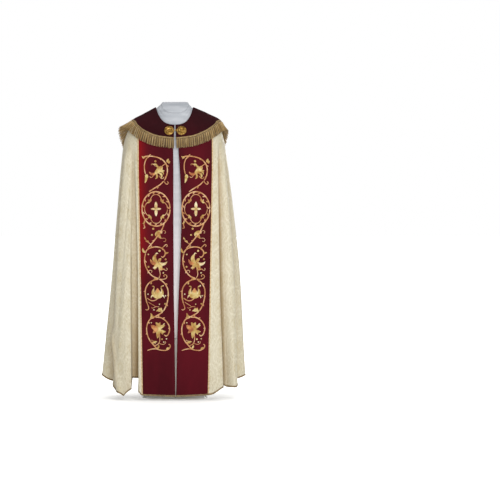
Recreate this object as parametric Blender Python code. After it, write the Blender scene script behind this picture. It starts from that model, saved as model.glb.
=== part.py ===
"""A cope on a limbless dress form: brocade mantle, velvet orphreys and hood, fringe, clasp and stand.

Metres, +Z up. The front faces -Y and the wearer's left is +X. The origin is the middle of the base's
underside.
Every size below is in millimetres and is turned into metres when a mesh is made.
"""

from collections import namedtuple

import bmesh
import bpy
import numpy as np

MM = 0.001

# ---------------------------------------------------------------- cloth thicknesses and gaps, mm
BROCADE = 1.6
VELVET_BAND = 1.2
BRAID = 1.5
HOOD_CLOTH = 2.2
FRINGE_DEPTH = 6.0
SEAM_GAP = 0.3
FORM_GAP = 1.1
# The form's shoulders fall away from the cloth by this much for each unit of level below the neckline.
FORM_EASE = 20.0

# ---------------------------------------------------------------- widths of the trimmings, mm
HEM_BRAID_WIDTH = 8.0
HEADING_WIDTH = 8.0
FRINGE_LENGTH = 48.0
FRINGE_GAP = 0.7

# ---------------------------------------------------------------- the bell of the mantle without its folds
# A row for each ring from the neckline to the hem: heights at the front, side and back, half widths, depths
# from the pole to the front and to the back, how square the ring is, and how sharply it rises to the side.
Ring = namedtuple("Ring", "name z_front z_side z_back half_left half_right front back square lift")
RINGS = [
    Ring("neckline", 1376, 1465, 1479, 94, 89, 97, 72, 2.5, 4.4),
    Ring("yoke", 1362, 1425, 1437, 156, 166, 106, 98, 2.2, 3.2),
    Ring("cap", 1345, 1392, 1394, 210, 222, 115, 118, 2.2, 2.6),
    Ring("shoulder", 1318, 1347, 1346, 236, 234, 122, 134, 2.3, 2.2),
    Ring("upper_arm", 1258, 1284, 1276, 257, 249, 128, 146, 2.3, 2.0),
    Ring("chest", 1140, 1156, 1144, 272, 268, 136, 168, 2.3, 2.0),
    Ring("waist", 892, 906, 896, 292, 298, 150, 206, 2.3, 2.0),
    Ring("hip", 592, 622, 602, 312, 324, 168, 246, 2.3, 2.0),
    Ring("knee", 292, 352, 330, 334, 336, 186, 282, 2.3, 2.0),
    Ring("hem", 20, 127, 106, 357, 346, 202, 312, 2.3, 2.2),
]

# ---------------------------------------------------------------- the lines that shape the cloth
# A row for each line that runs from neckline to hem, counted from the left front edge round the back.
# place_* is where it lies at the chest, hip and hem: mm from the middle of the front for the front lines,
# degrees round from the front for the others. out_* is how far the fold stands out of the bell (+) or falls
# into it (-) there, hem_z is the height of the hem on the line, and steps is the number of strips up to the
# next line.
Line = namedtuple("Line", "name unit place_chest place_hip place_hem out_chest out_hip out_hem hem_z steps")
LINES = [
    Line("front_edge_left", "mm", 9, 7, -2, 0, 0, 0, 21, 4),
    Line("orphrey_side_left", "mm", 181, 170, 160, 0, 0, 0, 26, 1),
    Line("edging_side_left", "mm", 187, 176, 166, 0, 0, 2, 27, 1),
    Line("strip_crest_left", "mm", 200, 188, 184, 1, 3, 6, 37, 2),
    Line("valley_inner_left", "mm", 209, 200, 194, -8, -22, -58, 110, 1),
    Line("valley_outer_left", "mm", 219, 218, 218, -9, -28, -64, 114, 2),
    Line("main_edge_left", "mm", 228, 233, 229, 0, 2, 6, 40, 1),
    Line("main_crest_left", "mm", 240, 252, 253, 1, 8, 12, 30, 3),
    Line("groove_left", "deg", 70, 74, 71, -4, -12, -30, 90, 3),
    Line("outer_crest_left", "deg", 87, 88, 84, 0, 4, 12, 118, 3),
    Line("seam_valley_left", "deg", 101, 102, 100, -8, -40, -84, 116, 3),
    Line("rear_crest_left", "deg", 113, 113, 113, 0, 10, 24, 110, 3),
    Line("panel_valley_left", "deg", 127, 128, 129, -14, -44, -84, 120, 3),
    Line("panel_crest_left", "deg", 141, 142, 144, 0, 8, 20, 104, 3),
    Line("soft_valley_left", "deg", 160, 160, 160, -3, -16, -40, 110, 3),
    Line("back_crest", "deg", 177, 178, 180, 0, 3, 10, 102, 3),
    Line("soft_valley_right", "deg", 194, 194, 193, -3, -15, -36, 108, 3),
    Line("panel_crest_right", "deg", 205, 206, 204, 0, 8, 18, 104, 3),
    Line("panel_valley_right", "deg", 216, 218, 220, -14, -44, -82, 118, 3),
    Line("rear_crest_right", "deg", 233, 235, 238, 0, 10, 24, 108, 3),
    Line("mid_valley_right", "deg", 246, 247, 249, -6, -30, -66, 116, 3),
    Line("mid_crest_right", "deg", 255, 256, 258, 0, 4, 10, 112, 3),
    Line("seam_valley_right", "deg", 264, 264, 266, -6, -30, -66, 124, 3),
    Line("outer_crest_right", "deg", 276, 277, 280, 0, 4, 11, 129, 3),
    Line("groove_right", "deg", 289, 290, 294, -6, -14, -26, 103, 3),
    Line("fold_crest_right", "mm", -234, -262, -278, 1, 6, 12, 66, 3),
    Line("deep_valley_right", "mm", -212, -222, -253, -13, -30, -56, 84, 3),
    Line("panel_side_right", "mm", -198, -192, -190, 1, 3, 5, 26, 1),
    Line("edging_side_right", "mm", -190, -180, -169, 0, 0, 2, 28, 1),
    Line("orphrey_side_right", "mm", -184, -174, -163, 0, 0, 0, 27, 4),
    Line("front_edge_right", "mm", -26, -24, -5, 0, 0, 0, 21, 0),
]
SEAM_LINES = ("seam_valley_left", "seam_valley_right")

# Heights where the lines' places hold, and where the folds begin under the hood.
FOLDS_BEGIN, CHEST, HIP, HEM = 1300.0, 1150.0, 600.0, 21.0
# The gap between the fronts at each height: mm from the middle to the left edge and to the right edge.
Gap = namedtuple("Gap", "z left right")
FRONT_GAP = [
    Gap(1400, 9, -13),
    Gap(1262, 9, -17),
    Gap(1150, 8, -24),
    Gap(940, 8, -32),
    Gap(700, 7, -26),
    Gap(550, 6, -19),
    Gap(380, 3, -13),
    Gap(20, -2, -5),
]

# Levels of the mantle's rows, as fractions of the way down through the rings.
ROWS = (0.02, 0.08, 0.16, 0.24, 0.31, 0.37, 0.43, 0.5, 0.58, 0.67, 0.76, 0.84, 0.91, 0.97, 1.0)
ORPHREY_TOP_ROW = 3
HEM_RISE_FROM = 0.6
SHOULDER_LEVEL = 0.34

# ---------------------------------------------------------------- the hood, its edge: degrees round and height
HoodEdge = namedtuple("HoodEdge", "turn z")
HOOD_EDGE = [
    HoodEdge(0, 1304),
    HoodEdge(20, 1314),
    HoodEdge(36, 1335),
    HoodEdge(54, 1365),
    HoodEdge(68, 1385),
    HoodEdge(84, 1390),
    HoodEdge(100, 1366),
    HoodEdge(114, 1316),
    HoodEdge(127, 1240),
    HoodEdge(139, 1188),
    HoodEdge(156, 1121),
    HoodEdge(171, 1056),
    HoodEdge(180, 1000),
]
HOOD_TURNS = (2.2, 10, 20, 29, 38, 47, 55, 63, 71, 79, 87, 95)
HOOD_TURNS += (103, 107, 111, 116, 122, 131, 140, 149, 158, 168, 174, 180)
HOOD_ROWS = (0.0, 22.0, 46.0, 70.0, 92.0, 112.0, 131.0, 150.0, 170.0, 194.0, 230.0)
HOOD_LIFT = 2.1
HOOD_FLARE_FRONT, HOOD_FLARE_BACK = 3.0, 8.0
HOOD_FLARE_POWER = 0.55
FRINGE_ROWS = (0.0, 0.35, 0.7, 1.0)
# Off the shoulders' ends the fringe stands out like an eave: degrees round, how wide a stretch, and mm at its
# lower edge.
Eave = namedtuple("Eave", "turn width reach")
EAVE_POWER = 1.4
EAVES = [Eave(92, 24, 36), Eave(268, 22, 21)]

# ---------------------------------------------------------------- clasp
BOSS_RADIUS, BOSS_HEIGHT = 24.0, 9.0
BOSS_X = (-29.5, 32.5)
BOSS_Z = 1345.0
BOSS_STAND_OFF = 1.0
HOOK_SIZE = (9.0, 2.4, 5.0)
EYE_SIZE = (3.2, 2.4, 7.0)

# ---------------------------------------------------------------- the dress form and its stand
# Rings of the long torso below the shoulder: height, half width, depth to the front and to the back.
Torso = namedtuple("Torso", "z half front back")
TORSO = [
    Torso(1262, 236, 116, 130),
    Torso(1180, 208, 118, 128),
    Torso(1060, 178, 116, 114),
    Torso(960, 168, 114, 108),
    Torso(860, 182, 120, 118),
    Torso(760, 190, 128, 124),
    Torso(640, 184, 134, 126),
    Torso(520, 172, 140, 122),
    Torso(400, 158, 144, 114),
]
TORSO_FOOT = Torso(310, 144, 142, 104)
NECK_RADIUS = 68.0
NECK_CENTRE = (0.0, -8.0, 1481.5)
NECK_SLANT = 0.40
NECK_SQUARE = 2.7
NECK_CAP_THICK = 5.5
NECK_SHARES = (0.12, 0.4, 0.72)
NECK_HOLLOW = -2.0
NECK_DROOP = 18.0
POLE_RADIUS, POLE_TOP = 15.0, 309.6
COLLAR_RADIUS, COLLAR_HEIGHT = 27.0, 46.0
BASE_RADIUS, BASE_THICK, BASE_RIM = 165.0, 9.0, 5.0

# ---------------------------------------------------------------- colours (linear), roughness, metallic
COLOURS = {
    "brocade": ((0.76, 0.70, 0.55), 0.55, 0.0),
    "velvet": ((0.09, 0.008, 0.018), 0.8, 0.0),
    "gold_braid": ((0.55, 0.40, 0.16), 0.5, 0.1),
    "gold_fringe": ((0.46, 0.32, 0.12), 0.6, 0.0),
    "gilt_metal": ((0.75, 0.5, 0.16), 0.3, 1.0),
    "pale_metal": ((0.8, 0.76, 0.66), 0.3, 1.0),
    "form_cover": ((0.72, 0.75, 0.8), 0.8, 0.0),
    "white_paint": ((0.85, 0.85, 0.85), 0.4, 0.0),
}


def clear_scene():
    for obj in list(bpy.data.objects):
        bpy.data.objects.remove(obj, do_unlink=True)


def material(name):
    """The named Principled material, made once."""
    if name in bpy.data.materials:
        return bpy.data.materials[name]
    colour, roughness, metallic = COLOURS[name]
    made = bpy.data.materials.new(name)
    made.use_nodes = True
    shader = made.node_tree.nodes["Principled BSDF"]
    shader.inputs["Base Color"].default_value = (*colour, 1.0)
    shader.inputs["Roughness"].default_value = roughness
    shader.inputs["Metallic"].default_value = metallic
    return made


def add_object(name, points_mm, faces, slot, smooth=True):
    """One closed object from points in millimetres, faces turned outward."""
    mesh = bpy.data.meshes.new(name)
    mesh.from_pydata([tuple(p) for p in np.asarray(points_mm) * MM], [], faces)
    shape = bmesh.new()
    shape.from_mesh(mesh)
    bmesh.ops.recalc_face_normals(shape, faces=shape.faces)
    if shape.calc_volume(signed=True) < 0:
        bmesh.ops.reverse_faces(shape, faces=shape.faces)
    shape.to_mesh(mesh)
    shape.free()
    if smooth:
        mesh.shade_smooth()
    mesh.materials.append(material(slot))
    obj = bpy.data.objects.new(name, mesh)
    bpy.context.scene.collection.objects.link(obj)
    return obj


# ---------------------------------------------------------------- curves through tables
def curve(x, xs, ys):
    """The cubic through the points (xs, ys) that never overshoots them, at x; flat past both ends."""
    xs, ys = np.asarray(xs, float), np.asarray(ys, float)
    step = np.diff(xs)
    rise = np.diff(ys) / step
    slope = np.zeros_like(ys)
    slope[0], slope[-1] = rise[0], rise[-1]
    same = rise[:-1] * rise[1:] > 0
    before, after = step[:-1], step[1:]
    weight_a, weight_b = 2 * after + before, after + 2 * before
    safe = np.where(same, rise[:-1] * rise[1:], 1.0)
    mean = (weight_a + weight_b) * safe / np.where(same, weight_a * rise[1:] + weight_b * rise[:-1], 1.0)
    slope[1:-1] = np.where(same, mean, 0.0)
    x = np.clip(x, xs[0], xs[-1])
    k = np.clip(np.searchsorted(xs, x, side="right") - 1, 0, len(xs) - 2)
    t = (x - xs[k]) / step[k]
    start, end = slope[k] * step[k], slope[k + 1] * step[k]
    return (
        (2 * t**3 - 3 * t**2 + 1) * ys[k]
        + (t**3 - 2 * t**2 + t) * start
        + (3 * t**2 - 2 * t**3) * ys[k + 1]
        + (t**3 - t**2) * end
    )


def eased(t):
    """A half cosine from 0 to 1, the side of a soft fold."""
    return (1 - np.cos(np.pi * np.clip(t, 0, 1))) / 2


# ---------------------------------------------------------------- the bell
def ring_value(column, level):
    """One column of RINGS at a level from 0 at the neckline to 1 at the hem."""
    stations = np.linspace(0, 1, len(RINGS))
    return curve(level, stations, [getattr(ring, column) for ring in RINGS])


def bell(turn, level):
    """Points of the unfolded mantle's inner face, turn in radians from the front over the left shoulder."""
    turn, level = np.broadcast_arrays(np.asarray(turn, float), np.asarray(level, float))
    side, ahead = np.sin(turn), np.cos(turn)
    half = (ring_value("half_left", level) * (1 + side) + ring_value("half_right", level) * (1 - side)) / 2
    depth = (ring_value("front", level) * (1 + ahead) + ring_value("back", level) * (1 - ahead)) / 2
    power = ring_value("square", level)
    reach = (np.abs(side) ** power + np.abs(ahead) ** power) ** (-1 / power)
    ends = (ring_value("z_front", level) * (1 + ahead) + ring_value("z_back", level) * (1 - ahead)) / 2
    lift = np.abs(side) ** ring_value("lift", level)
    height = ring_value("z_side", level) * lift + ends * (1 - lift)
    return np.stack([-half * side * reach, -depth * ahead * reach, height], axis=-1)


def bell_normal(turn, level):
    """Outward unit normals of the bell, from small steps along both directions."""
    small = 1e-3
    across = bell(turn + small, level) - bell(turn - small, level)
    down = bell(turn, np.clip(level + small, 0, 1)) - bell(turn, np.clip(level - small, 0, 1))
    normal = np.cross(across, down)
    return normal / np.linalg.norm(normal, axis=-1, keepdims=True)


def turn_at(distance, level):
    """The turn at which the bell lies this many mm to the left of the middle (right if negative)."""
    turns = np.linspace(-1.5, 1.5, 601)
    return np.interp(distance, -bell(turns, level)[:, 0], turns)


def level_at(turn, height):
    """The level at which the bell's column at this turn has this height."""
    levels = np.linspace(0, 1, 801)
    heights = bell(turn, levels)[:, 2]
    return np.interp(-height, -heights, levels)


# ---------------------------------------------------------------- the folded mantle
def line_turn(line, level):
    """Where a shaping line lies at each level, in radians."""
    heights = [HEM, HIP, CHEST]
    at_height = ring_value("z_front", level)
    place = curve(at_height, heights, [line.place_hem, line.place_hip, line.place_chest])
    if line.name.startswith("front_edge"):
        side = "left" if line.name.endswith("left") else "right"
        rows = sorted(FRONT_GAP)
        place = curve(at_height, [row.z for row in rows], [getattr(row, side) for row in rows])
    if line.unit == "deg":
        return np.radians(place)
    reached = np.maximum(level, 0.0 if line.name.startswith("front_edge") else SHOULDER_LEVEL)
    found = np.array([turn_at(p, v) for p, v in zip(place, reached)])
    return found if line.name.endswith("left") else found + 2 * np.pi


def line_out(line, level):
    """How far the cloth stands out of the bell on a line."""
    heights = [HEM, HIP, CHEST, FOLDS_BEGIN, RINGS[0].z_front]
    return curve(ring_value("z_front", level), heights, [line.out_hem, line.out_hip, line.out_chest, 0, 0])


def mantle_grid(levels):
    """Points and normals of the mantle's inner face: a row for each level, a column for each strip."""
    turns = np.stack([line_turn(line, levels) for line in LINES], axis=1)
    outs = np.stack([line_out(line, levels) for line in LINES], axis=1)
    hems = np.array([line.hem_z for line in LINES], float)
    turn, out, hem, marks = [], [], [], {}
    for k, line in enumerate(LINES):
        marks[line.name] = len(turn)
        for step in range(max(line.steps, 1)):
            if k == len(LINES) - 1:
                t = 0.0
                after = k
            else:
                t = step / line.steps
                after = k + 1
            turn.append(turns[:, k] * (1 - t) + turns[:, after] * t)
            out.append(outs[:, k] + (outs[:, after] - outs[:, k]) * eased(t))
            hem.append(hems[k] + (hems[after] - hems[k]) * eased(t))
    turn, out = np.stack(turn, axis=1), np.stack(out, axis=1)
    level = np.repeat(np.asarray(levels)[:, None], turn.shape[1], axis=1)
    points = bell(turn, level) + bell_normal(turn, level) * out[..., None]
    rise = np.array(hem) - bell(turn[-1], np.ones(turn.shape[1]))[:, 2]
    share = eased((level - HEM_RISE_FROM) / (1 - HEM_RISE_FROM))
    points[..., 2] += rise * share
    return points, grid_normals(points), marks


def grid_normals(points):
    """Outward unit normals of a grid of points, rows downward and columns over the left shoulder."""
    normal = np.cross(np.gradient(points, axis=1), np.gradient(points, axis=0))
    return normal / np.linalg.norm(normal, axis=-1, keepdims=True)


def wall(name, inner, outer, slot):
    """A closed wall between two grids of points of the same shape."""
    rows, columns = inner.shape[:2]
    points = np.concatenate([inner.reshape(-1, 3), outer.reshape(-1, 3)])
    near = np.arange(rows * columns).reshape(rows, columns)
    far = near + rows * columns
    faces = []
    for grid, flip in ((near, True), (far, False)):
        a, b, c, d = grid[:-1, :-1], grid[1:, :-1], grid[1:, 1:], grid[:-1, 1:]
        for corners in zip(a.ravel(), b.ravel(), c.ravel(), d.ravel()):
            p, q, r, s = (int(n) for n in corners)
            faces += [(p, r, q), (p, s, r)] if flip else [(p, q, r), (p, r, s)]
    loop = np.concatenate([near[0, :-1], near[:-1, -1], near[-1, :0:-1], near[:0:-1, 0]])
    for p, q in zip(loop, np.roll(loop, -1)):
        p, q = int(p), int(q)
        faces.append((p, q, q + rows * columns, p + rows * columns))
    return add_object(name, points, faces, slot)


def slide(points, normals, low, high):
    """The pair of grids that lie low and high mm outside the given points."""
    return points + normals * low, points + normals * high


def between_columns(grid, column, shift):
    """Points of a grid at a whole column plus a small shift in mm along the row."""
    here, there = grid[:, column], grid[:, column + (1 if shift > 0 else -1)]
    length = np.linalg.norm(there - here, axis=-1, keepdims=True)
    return here + (there - here) * (abs(shift) / length)


def trimmed(grid, first, last, gap_first, gap_last):
    """Columns first to last of a grid, their ends drawn in by the gaps."""
    part = grid[:, first : last + 1].copy()
    if gap_first:
        part[:, 0] = between_columns(grid, first, gap_first)
    if gap_last:
        part[:, -1] = between_columns(grid, last, -gap_last)
    return part


def build_mantle(points, normals, marks):
    """Three brocade panels that meet in the side folds."""
    seams = [marks[name] for name in SEAM_LINES]
    last = points.shape[1] - 1
    inner, outer = slide(points, normals, 0.0, BROCADE)
    half = SEAM_GAP / 2
    for name, first, end, gaps in (
        ("mantle_left", 0, seams[0], (0, half)),
        ("mantle_back", seams[0], seams[1], (half, half)),
        ("mantle_right", seams[1], last, (half, 0)),
    ):
        wall(name, trimmed(inner, first, end, *gaps), trimmed(outer, first, end, *gaps), "brocade")


def build_bands(points, normals, marks):
    """The velvet orphreys on the front edges and the braid along each one's outer side."""
    low = BROCADE + SEAM_GAP
    inner, velvet = slide(points, normals, low, low + VELVET_BAND)
    braid = slide(points, normals, low, low + BRAID)[1]
    rows = slice(ORPHREY_TOP_ROW, len(ROWS))
    last = points.shape[1] - 1
    half = SEAM_GAP / 2
    edges = {
        "left": (0, marks["orphrey_side_left"], marks["edging_side_left"]),
        "right": (last, marks["orphrey_side_right"], marks["edging_side_right"]),
    }
    for side, (front, band, edging) in edges.items():
        for name, a, b, top, slot in (
            ("orphrey", front, band, velvet, "velvet"),
            ("orphrey_edging", band, edging, braid, "gold_braid"),
        ):
            first, end = min(a, b), max(a, b)
            gaps = (half if first not in (0, last) else 0, half if end not in (0, last) else 0)
            low_part = shorten(trimmed(inner[rows], first, end, *gaps), HEM_BRAID_WIDTH + SEAM_GAP)
            top_part = shorten(trimmed(top[rows], first, end, *gaps), HEM_BRAID_WIDTH + SEAM_GAP)
            wall(f"{name}_{side}", low_part, top_part, slot)


def shorten(grid, length):
    """The grid with its last row drawn up by a length in mm."""
    part = grid.copy()
    run = grid[-2] - grid[-1]
    part[-1] = grid[-1] + run * (length / np.linalg.norm(run, axis=-1, keepdims=True))
    return part


def build_hem_braid(points, normals, marks):
    """Braid laid along the hem, in three lengths that meet at the seams."""
    low = BROCADE + SEAM_GAP
    inner, outer = slide(points, normals, low, low + VELVET_BAND)
    seams = [marks[name] for name in SEAM_LINES]
    last = points.shape[1] - 1
    half = SEAM_GAP / 2
    for side, first, end, gaps in (
        ("left", 0, seams[0], (0, half)),
        ("back", seams[0], seams[1], (half, half)),
        ("right", seams[1], last, (half, 0)),
    ):
        pair = []
        for grid in (inner, outer):
            part = trimmed(grid, first, end, *gaps)
            pair.append(np.stack([shorten(part, HEM_BRAID_WIDTH)[-1], part[-1]]))
        wall(f"hem_braid_{side}", pair[0], pair[1], "gold_braid")


# ---------------------------------------------------------------- hood, fringe and its heading
def hood_turns():
    """The hood's columns from the left front edge round the back to the right front edge."""
    left = np.radians(HOOD_TURNS)
    return np.concatenate([left, 2 * np.pi - left[-2::-1]])


def column_lengths(turn):
    """Levels of one column of the bell, and its length in mm from the neckline to each."""
    levels = np.linspace(0, 0.75, 751)
    points = bell(turn, levels)
    steps = np.linalg.norm(np.diff(points, axis=0), axis=1)
    return levels, np.concatenate([[0.0], np.cumsum(steps)])


def hood_edge_length(turn):
    """Length of the hood in mm along the column at this turn."""
    around = np.degrees(np.pi - abs(np.pi - turn))
    height = curve(around, [row.turn for row in HOOD_EDGE], [row.z for row in HOOD_EDGE])
    levels, lengths = column_lengths(turn)
    return np.interp(level_at(turn, height), levels, lengths)


def hood_grid(turns, lengths_of):
    """Bell levels and points for each turn and each length that lengths_of(edge length) gives."""
    columns = []
    for turn in turns:
        levels, lengths = column_lengths(turn)
        wanted = np.interp(lengths_of(hood_edge_length(turn)), lengths, levels)
        columns.append(wanted)
    level = np.stack(columns, axis=1)
    turn = np.repeat(np.asarray(turns)[None, :], level.shape[0], axis=0)
    return bell(turn, level), bell_normal(turn, level)


def hood_flare(turns):
    """How far the hood's edge stands off the mantle at each turn."""
    around = np.pi - np.abs(np.pi - turns)
    return HOOD_FLARE_FRONT + (HOOD_FLARE_BACK - HOOD_FLARE_FRONT) * eased(around / 1.1)


def fringe_eave(turns):
    """How far the fringe's lower edge stands out at each turn because it hangs off a shoulder's end."""
    degrees = np.degrees(turns)
    return sum(row.reach * np.exp(-(((degrees - row.turn) / row.width) ** 2)) for row in EAVES)


def build_hood():
    """The velvet hood, the braid that heads the fringe, and the plain reach of the fringe."""
    turns = hood_turns()
    flare = hood_flare(turns)[None, :, None]
    stations = np.array(HOOD_ROWS)

    def hood_lengths(edge):
        room = 0.9 * (edge - HEADING_WIDTH)
        return np.append(stations * min(1.0, room / stations[-1]), [edge - HEADING_WIDTH, edge])

    points, normals = hood_grid(turns, hood_lengths)
    share = np.append(stations / (stations[-1] * 1.2), [0.95, 1.0])[:, None, None] ** HOOD_FLARE_POWER
    low = HOOD_LIFT + flare * share
    inner, outer = points + normals * low, points + normals * (low + HOOD_CLOTH)
    wall("hood", inner, outer, "velvet")
    raised = low[-2:] + HOOD_CLOTH + SEAM_GAP
    wall(
        "fringe_heading",
        points[-2:] + normals[-2:] * raised,
        points[-2:] + normals[-2:] * (raised + BRAID),
        "gold_braid",
    )
    spread = np.array(FRINGE_ROWS)
    reach, facing = hood_grid(turns, lambda edge: edge + FRINGE_GAP + spread * FRINGE_LENGTH)
    start = HOOD_LIFT + flare + (fringe_eave(turns)[None, :] * spread[:, None] ** EAVE_POWER)[..., None]
    wall("fringe", reach + facing * start, reach + facing * (start + FRINGE_DEPTH), "gold_fringe")


# ---------------------------------------------------------------- turned and boxed pieces
def turned(name, profile, slot, centre=(0, 0, 0), along=(0, 0, 1), sides=32):
    """A round piece: (radius, height) profile spun about its axis. A radius of 0 closes an end."""
    along = np.asarray(along, float) / np.linalg.norm(along)
    helper = np.array([1.0, 0, 0]) if abs(along[0]) < 0.9 else np.array([0, 1.0, 0])
    across = np.cross(along, helper)
    across /= np.linalg.norm(across)
    other = np.cross(along, across)
    angles = np.linspace(0, 2 * np.pi, sides, endpoint=False)
    points, rings = [], []
    closed = profile[0] == profile[-1]
    for radius, height in profile[:-1] if closed else profile:
        middle = np.asarray(centre, float) + along * height
        if radius == 0:
            rings.append([len(points)] * sides)
            points.append(middle)
            continue
        rings.append(list(range(len(points), len(points) + sides)))
        points += [middle + radius * (across * np.cos(a) + other * np.sin(a)) for a in angles]
    if closed:
        rings.append(rings[0])
    faces = []
    for low, high in zip(rings[:-1], rings[1:]):
        for i in range(sides):
            j = (i + 1) % sides
            corners = [low[i], low[j], high[j], high[i]]
            face = list(dict.fromkeys(corners))
            if len(face) > 2:
                faces.append(tuple(face))
    obj = add_object(name, np.array(points), faces, slot)
    obj.data.set_sharp_from_angle(angle=0.7)
    return obj


def box(name, centre, size, slot):
    """A plain box."""
    signs = np.array([(x, y, z) for x in (-1, 1) for y in (-1, 1) for z in (-1, 1)])
    points = np.asarray(centre) + signs * np.asarray(size) / 2
    faces = [(0, 1, 3, 2), (4, 6, 7, 5), (0, 4, 5, 1), (2, 3, 7, 6), (0, 2, 6, 4), (1, 5, 7, 3)]
    return add_object(name, points, faces, slot, smooth=False)


def hood_front(x, z):
    """The point on the hood's outer face at this place of the front, and its normal."""
    near = -x
    turn = 0.0
    level = 0.0
    for _ in range(20):
        level = level_at(turn, z)
        turn = turn_at(near, level)
    length_levels, lengths = column_lengths(turn)
    share = np.interp(level, length_levels, lengths) / hood_edge_length(turn)
    flare = hood_flare(np.array([turn % (2 * np.pi)]))[0]
    normal = bell_normal(turn, level)
    return bell(turn, level) + normal * (HOOD_LIFT + flare * share**HOOD_FLARE_POWER + HOOD_CLOTH), normal


def build_clasp():
    """Two domed bosses on the hood's front ends, with the hook and eye between them."""
    seats = [hood_front(x, BOSS_Z) for x in BOSS_X]
    facing = np.array([0.0, seats[0][1][1], seats[0][1][2]])
    facing /= np.linalg.norm(facing)
    profile = [
        (0, 0),
        (BOSS_RADIUS - 1.5, 0),
        (BOSS_RADIUS, 1.2),
        (BOSS_RADIUS * 0.94, 3.4),
        (BOSS_RADIUS * 0.72, BOSS_HEIGHT * 0.78),
        (BOSS_RADIUS * 0.4, BOSS_HEIGHT),
        (BOSS_RADIUS * 0.14, BOSS_HEIGHT * 0.93),
        (0, BOSS_HEIGHT * 0.72),
    ]
    for side, (seat, _) in zip(("left", "right"), seats):
        turned(f"clasp_boss_{side}", profile, "gilt_metal", seat + facing * BOSS_STAND_OFF, facing, 28)
    middle = (seats[0][0] + seats[1][0]) / 2 + facing * (BOSS_STAND_OFF + 3.4)
    gap = SEAM_GAP
    inner_edges = (BOSS_X[0] + BOSS_RADIUS, BOSS_X[1] - BOSS_RADIUS)
    eye_x = inner_edges[1] - gap - EYE_SIZE[0] / 2
    hook_end = inner_edges[0] + gap
    hook_x = (hook_end + eye_x - EYE_SIZE[0] / 2 - gap) / 2
    hook_width = eye_x - EYE_SIZE[0] / 2 - gap - hook_end
    box("clasp_hook", (hook_x, middle[1], middle[2]), (hook_width, *HOOK_SIZE[1:]), "pale_metal")
    box("clasp_eye", (eye_x, middle[1], middle[2]), EYE_SIZE, "pale_metal")


# ---------------------------------------------------------------- the dress form
def closed_loft(name, rings, slot):
    """A closed body through rings of the same number of points, with both ends filled by fans."""
    rings = [np.asarray(ring, float) for ring in rings]
    count = len(rings[0])
    points = np.concatenate([*rings, [rings[0].mean(0)], [rings[-1].mean(0)]])
    top, bottom = len(rings) * count, len(rings) * count + 1
    faces = []
    for k in range(len(rings) - 1):
        for i in range(count):
            j = (i + 1) % count
            a, b = k * count + i, k * count + j
            c, d = b + count, a + count
            faces += [(a, d, c), (a, c, b)]
    end = (len(rings) - 1) * count
    for i in range(count):
        j = (i + 1) % count
        faces += [(top, i, j), (bottom, end + j, end + i)]
    return add_object(name, points, faces, slot)


def slanted_ring(turns, radius, lift):
    """A ring of the neck, tipped forward and drooping to the front and back; lift runs along its own axis."""
    lean_cos, lean_sin = np.cos(NECK_SLANT), np.sin(NECK_SLANT)
    side, ahead = np.sin(turns), np.cos(turns)
    reach = radius * (np.abs(side) ** NECK_SQUARE + np.abs(ahead) ** NECK_SQUARE) ** (-1 / NECK_SQUARE)
    x, along = -reach * side, -reach * ahead
    return np.stack(
        [
            NECK_CENTRE[0] + x,
            NECK_CENTRE[1] + along * lean_cos - lift * lean_sin,
            NECK_CENTRE[2] + along * lean_sin + lift * lean_cos - NECK_DROOP * (along / NECK_RADIUS) ** 2,
        ],
        axis=-1,
    )


def build_form(levels):
    """Torso under the mantle's shoulders, neck cap, pole, clamp collar and base."""
    count = 40
    turns = np.linspace(0, 2 * np.pi, count, endpoint=False) + np.pi / count
    shoulder = [level for level in levels if ring_value("z_side", level) > TORSO[0].z + 60]
    neck = slanted_ring(turns, NECK_RADIUS, 0.0)
    neckline = bell(turns, np.zeros(count)) - bell_normal(turns, np.zeros(count)) * FORM_GAP * 2
    rings = [neck] + [
        neck * (1 - share) + neckline * share - np.array([0, 0, NECK_HOLLOW * np.sin(np.pi * share)])
        for share in NECK_SHARES
    ]
    for level in [0.0, *shoulder]:
        rings.append(bell(turns, level) - bell_normal(turns, level) * (FORM_GAP * 2 + FORM_EASE * level))
    for row in TORSO + [TORSO_FOOT]:
        depth = (row.front * (1 + np.cos(turns)) + row.back * (1 - np.cos(turns))) / 2
        rings.append(np.stack([-row.half * np.sin(turns), -depth * np.cos(turns), np.full(count, row.z)], -1))
    closed_loft("form_torso", rings, "form_cover")

    cap = [
        slanted_ring(turns, NECK_RADIUS - 1, SEAM_GAP),
        slanted_ring(turns, NECK_RADIUS, 1.5),
        slanted_ring(turns, NECK_RADIUS, NECK_CAP_THICK - 3),
        slanted_ring(turns, NECK_RADIUS - 3, NECK_CAP_THICK),
    ]
    closed_loft("form_neck_cap", cap[::-1], "form_cover")

    pole_foot = BASE_THICK + SEAM_GAP
    turned("stand_pole", [(0, pole_foot), (POLE_RADIUS, pole_foot), (POLE_RADIUS, POLE_TOP), (0, POLE_TOP)],
           "white_paint", sides=24)
    inner = POLE_RADIUS + SEAM_GAP
    top = pole_foot + COLLAR_HEIGHT
    collar = [
        (inner, pole_foot),
        (COLLAR_RADIUS, pole_foot),
        (COLLAR_RADIUS, top - 3),
        (COLLAR_RADIUS - 3, top),
        (inner, top),
        (inner, pole_foot),
    ]
    turned("stand_collar", collar, "white_paint", sides=24)
    rim = BASE_RIM
    base = [(0, 0), (BASE_RADIUS, 0), (BASE_RADIUS, rim), (BASE_RADIUS - 3, rim + 1.5), (60, BASE_THICK),
            (0, BASE_THICK)]
    turned("stand_base", base, "white_paint", sides=48)


def main():
    clear_scene()
    levels = np.array(ROWS)
    points, normals, marks = mantle_grid(levels)
    build_mantle(points, normals, marks)
    build_bands(points, normals, marks)
    build_hem_braid(points, normals, marks)
    build_hood()
    build_clasp()
    build_form(levels)


main()
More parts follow.
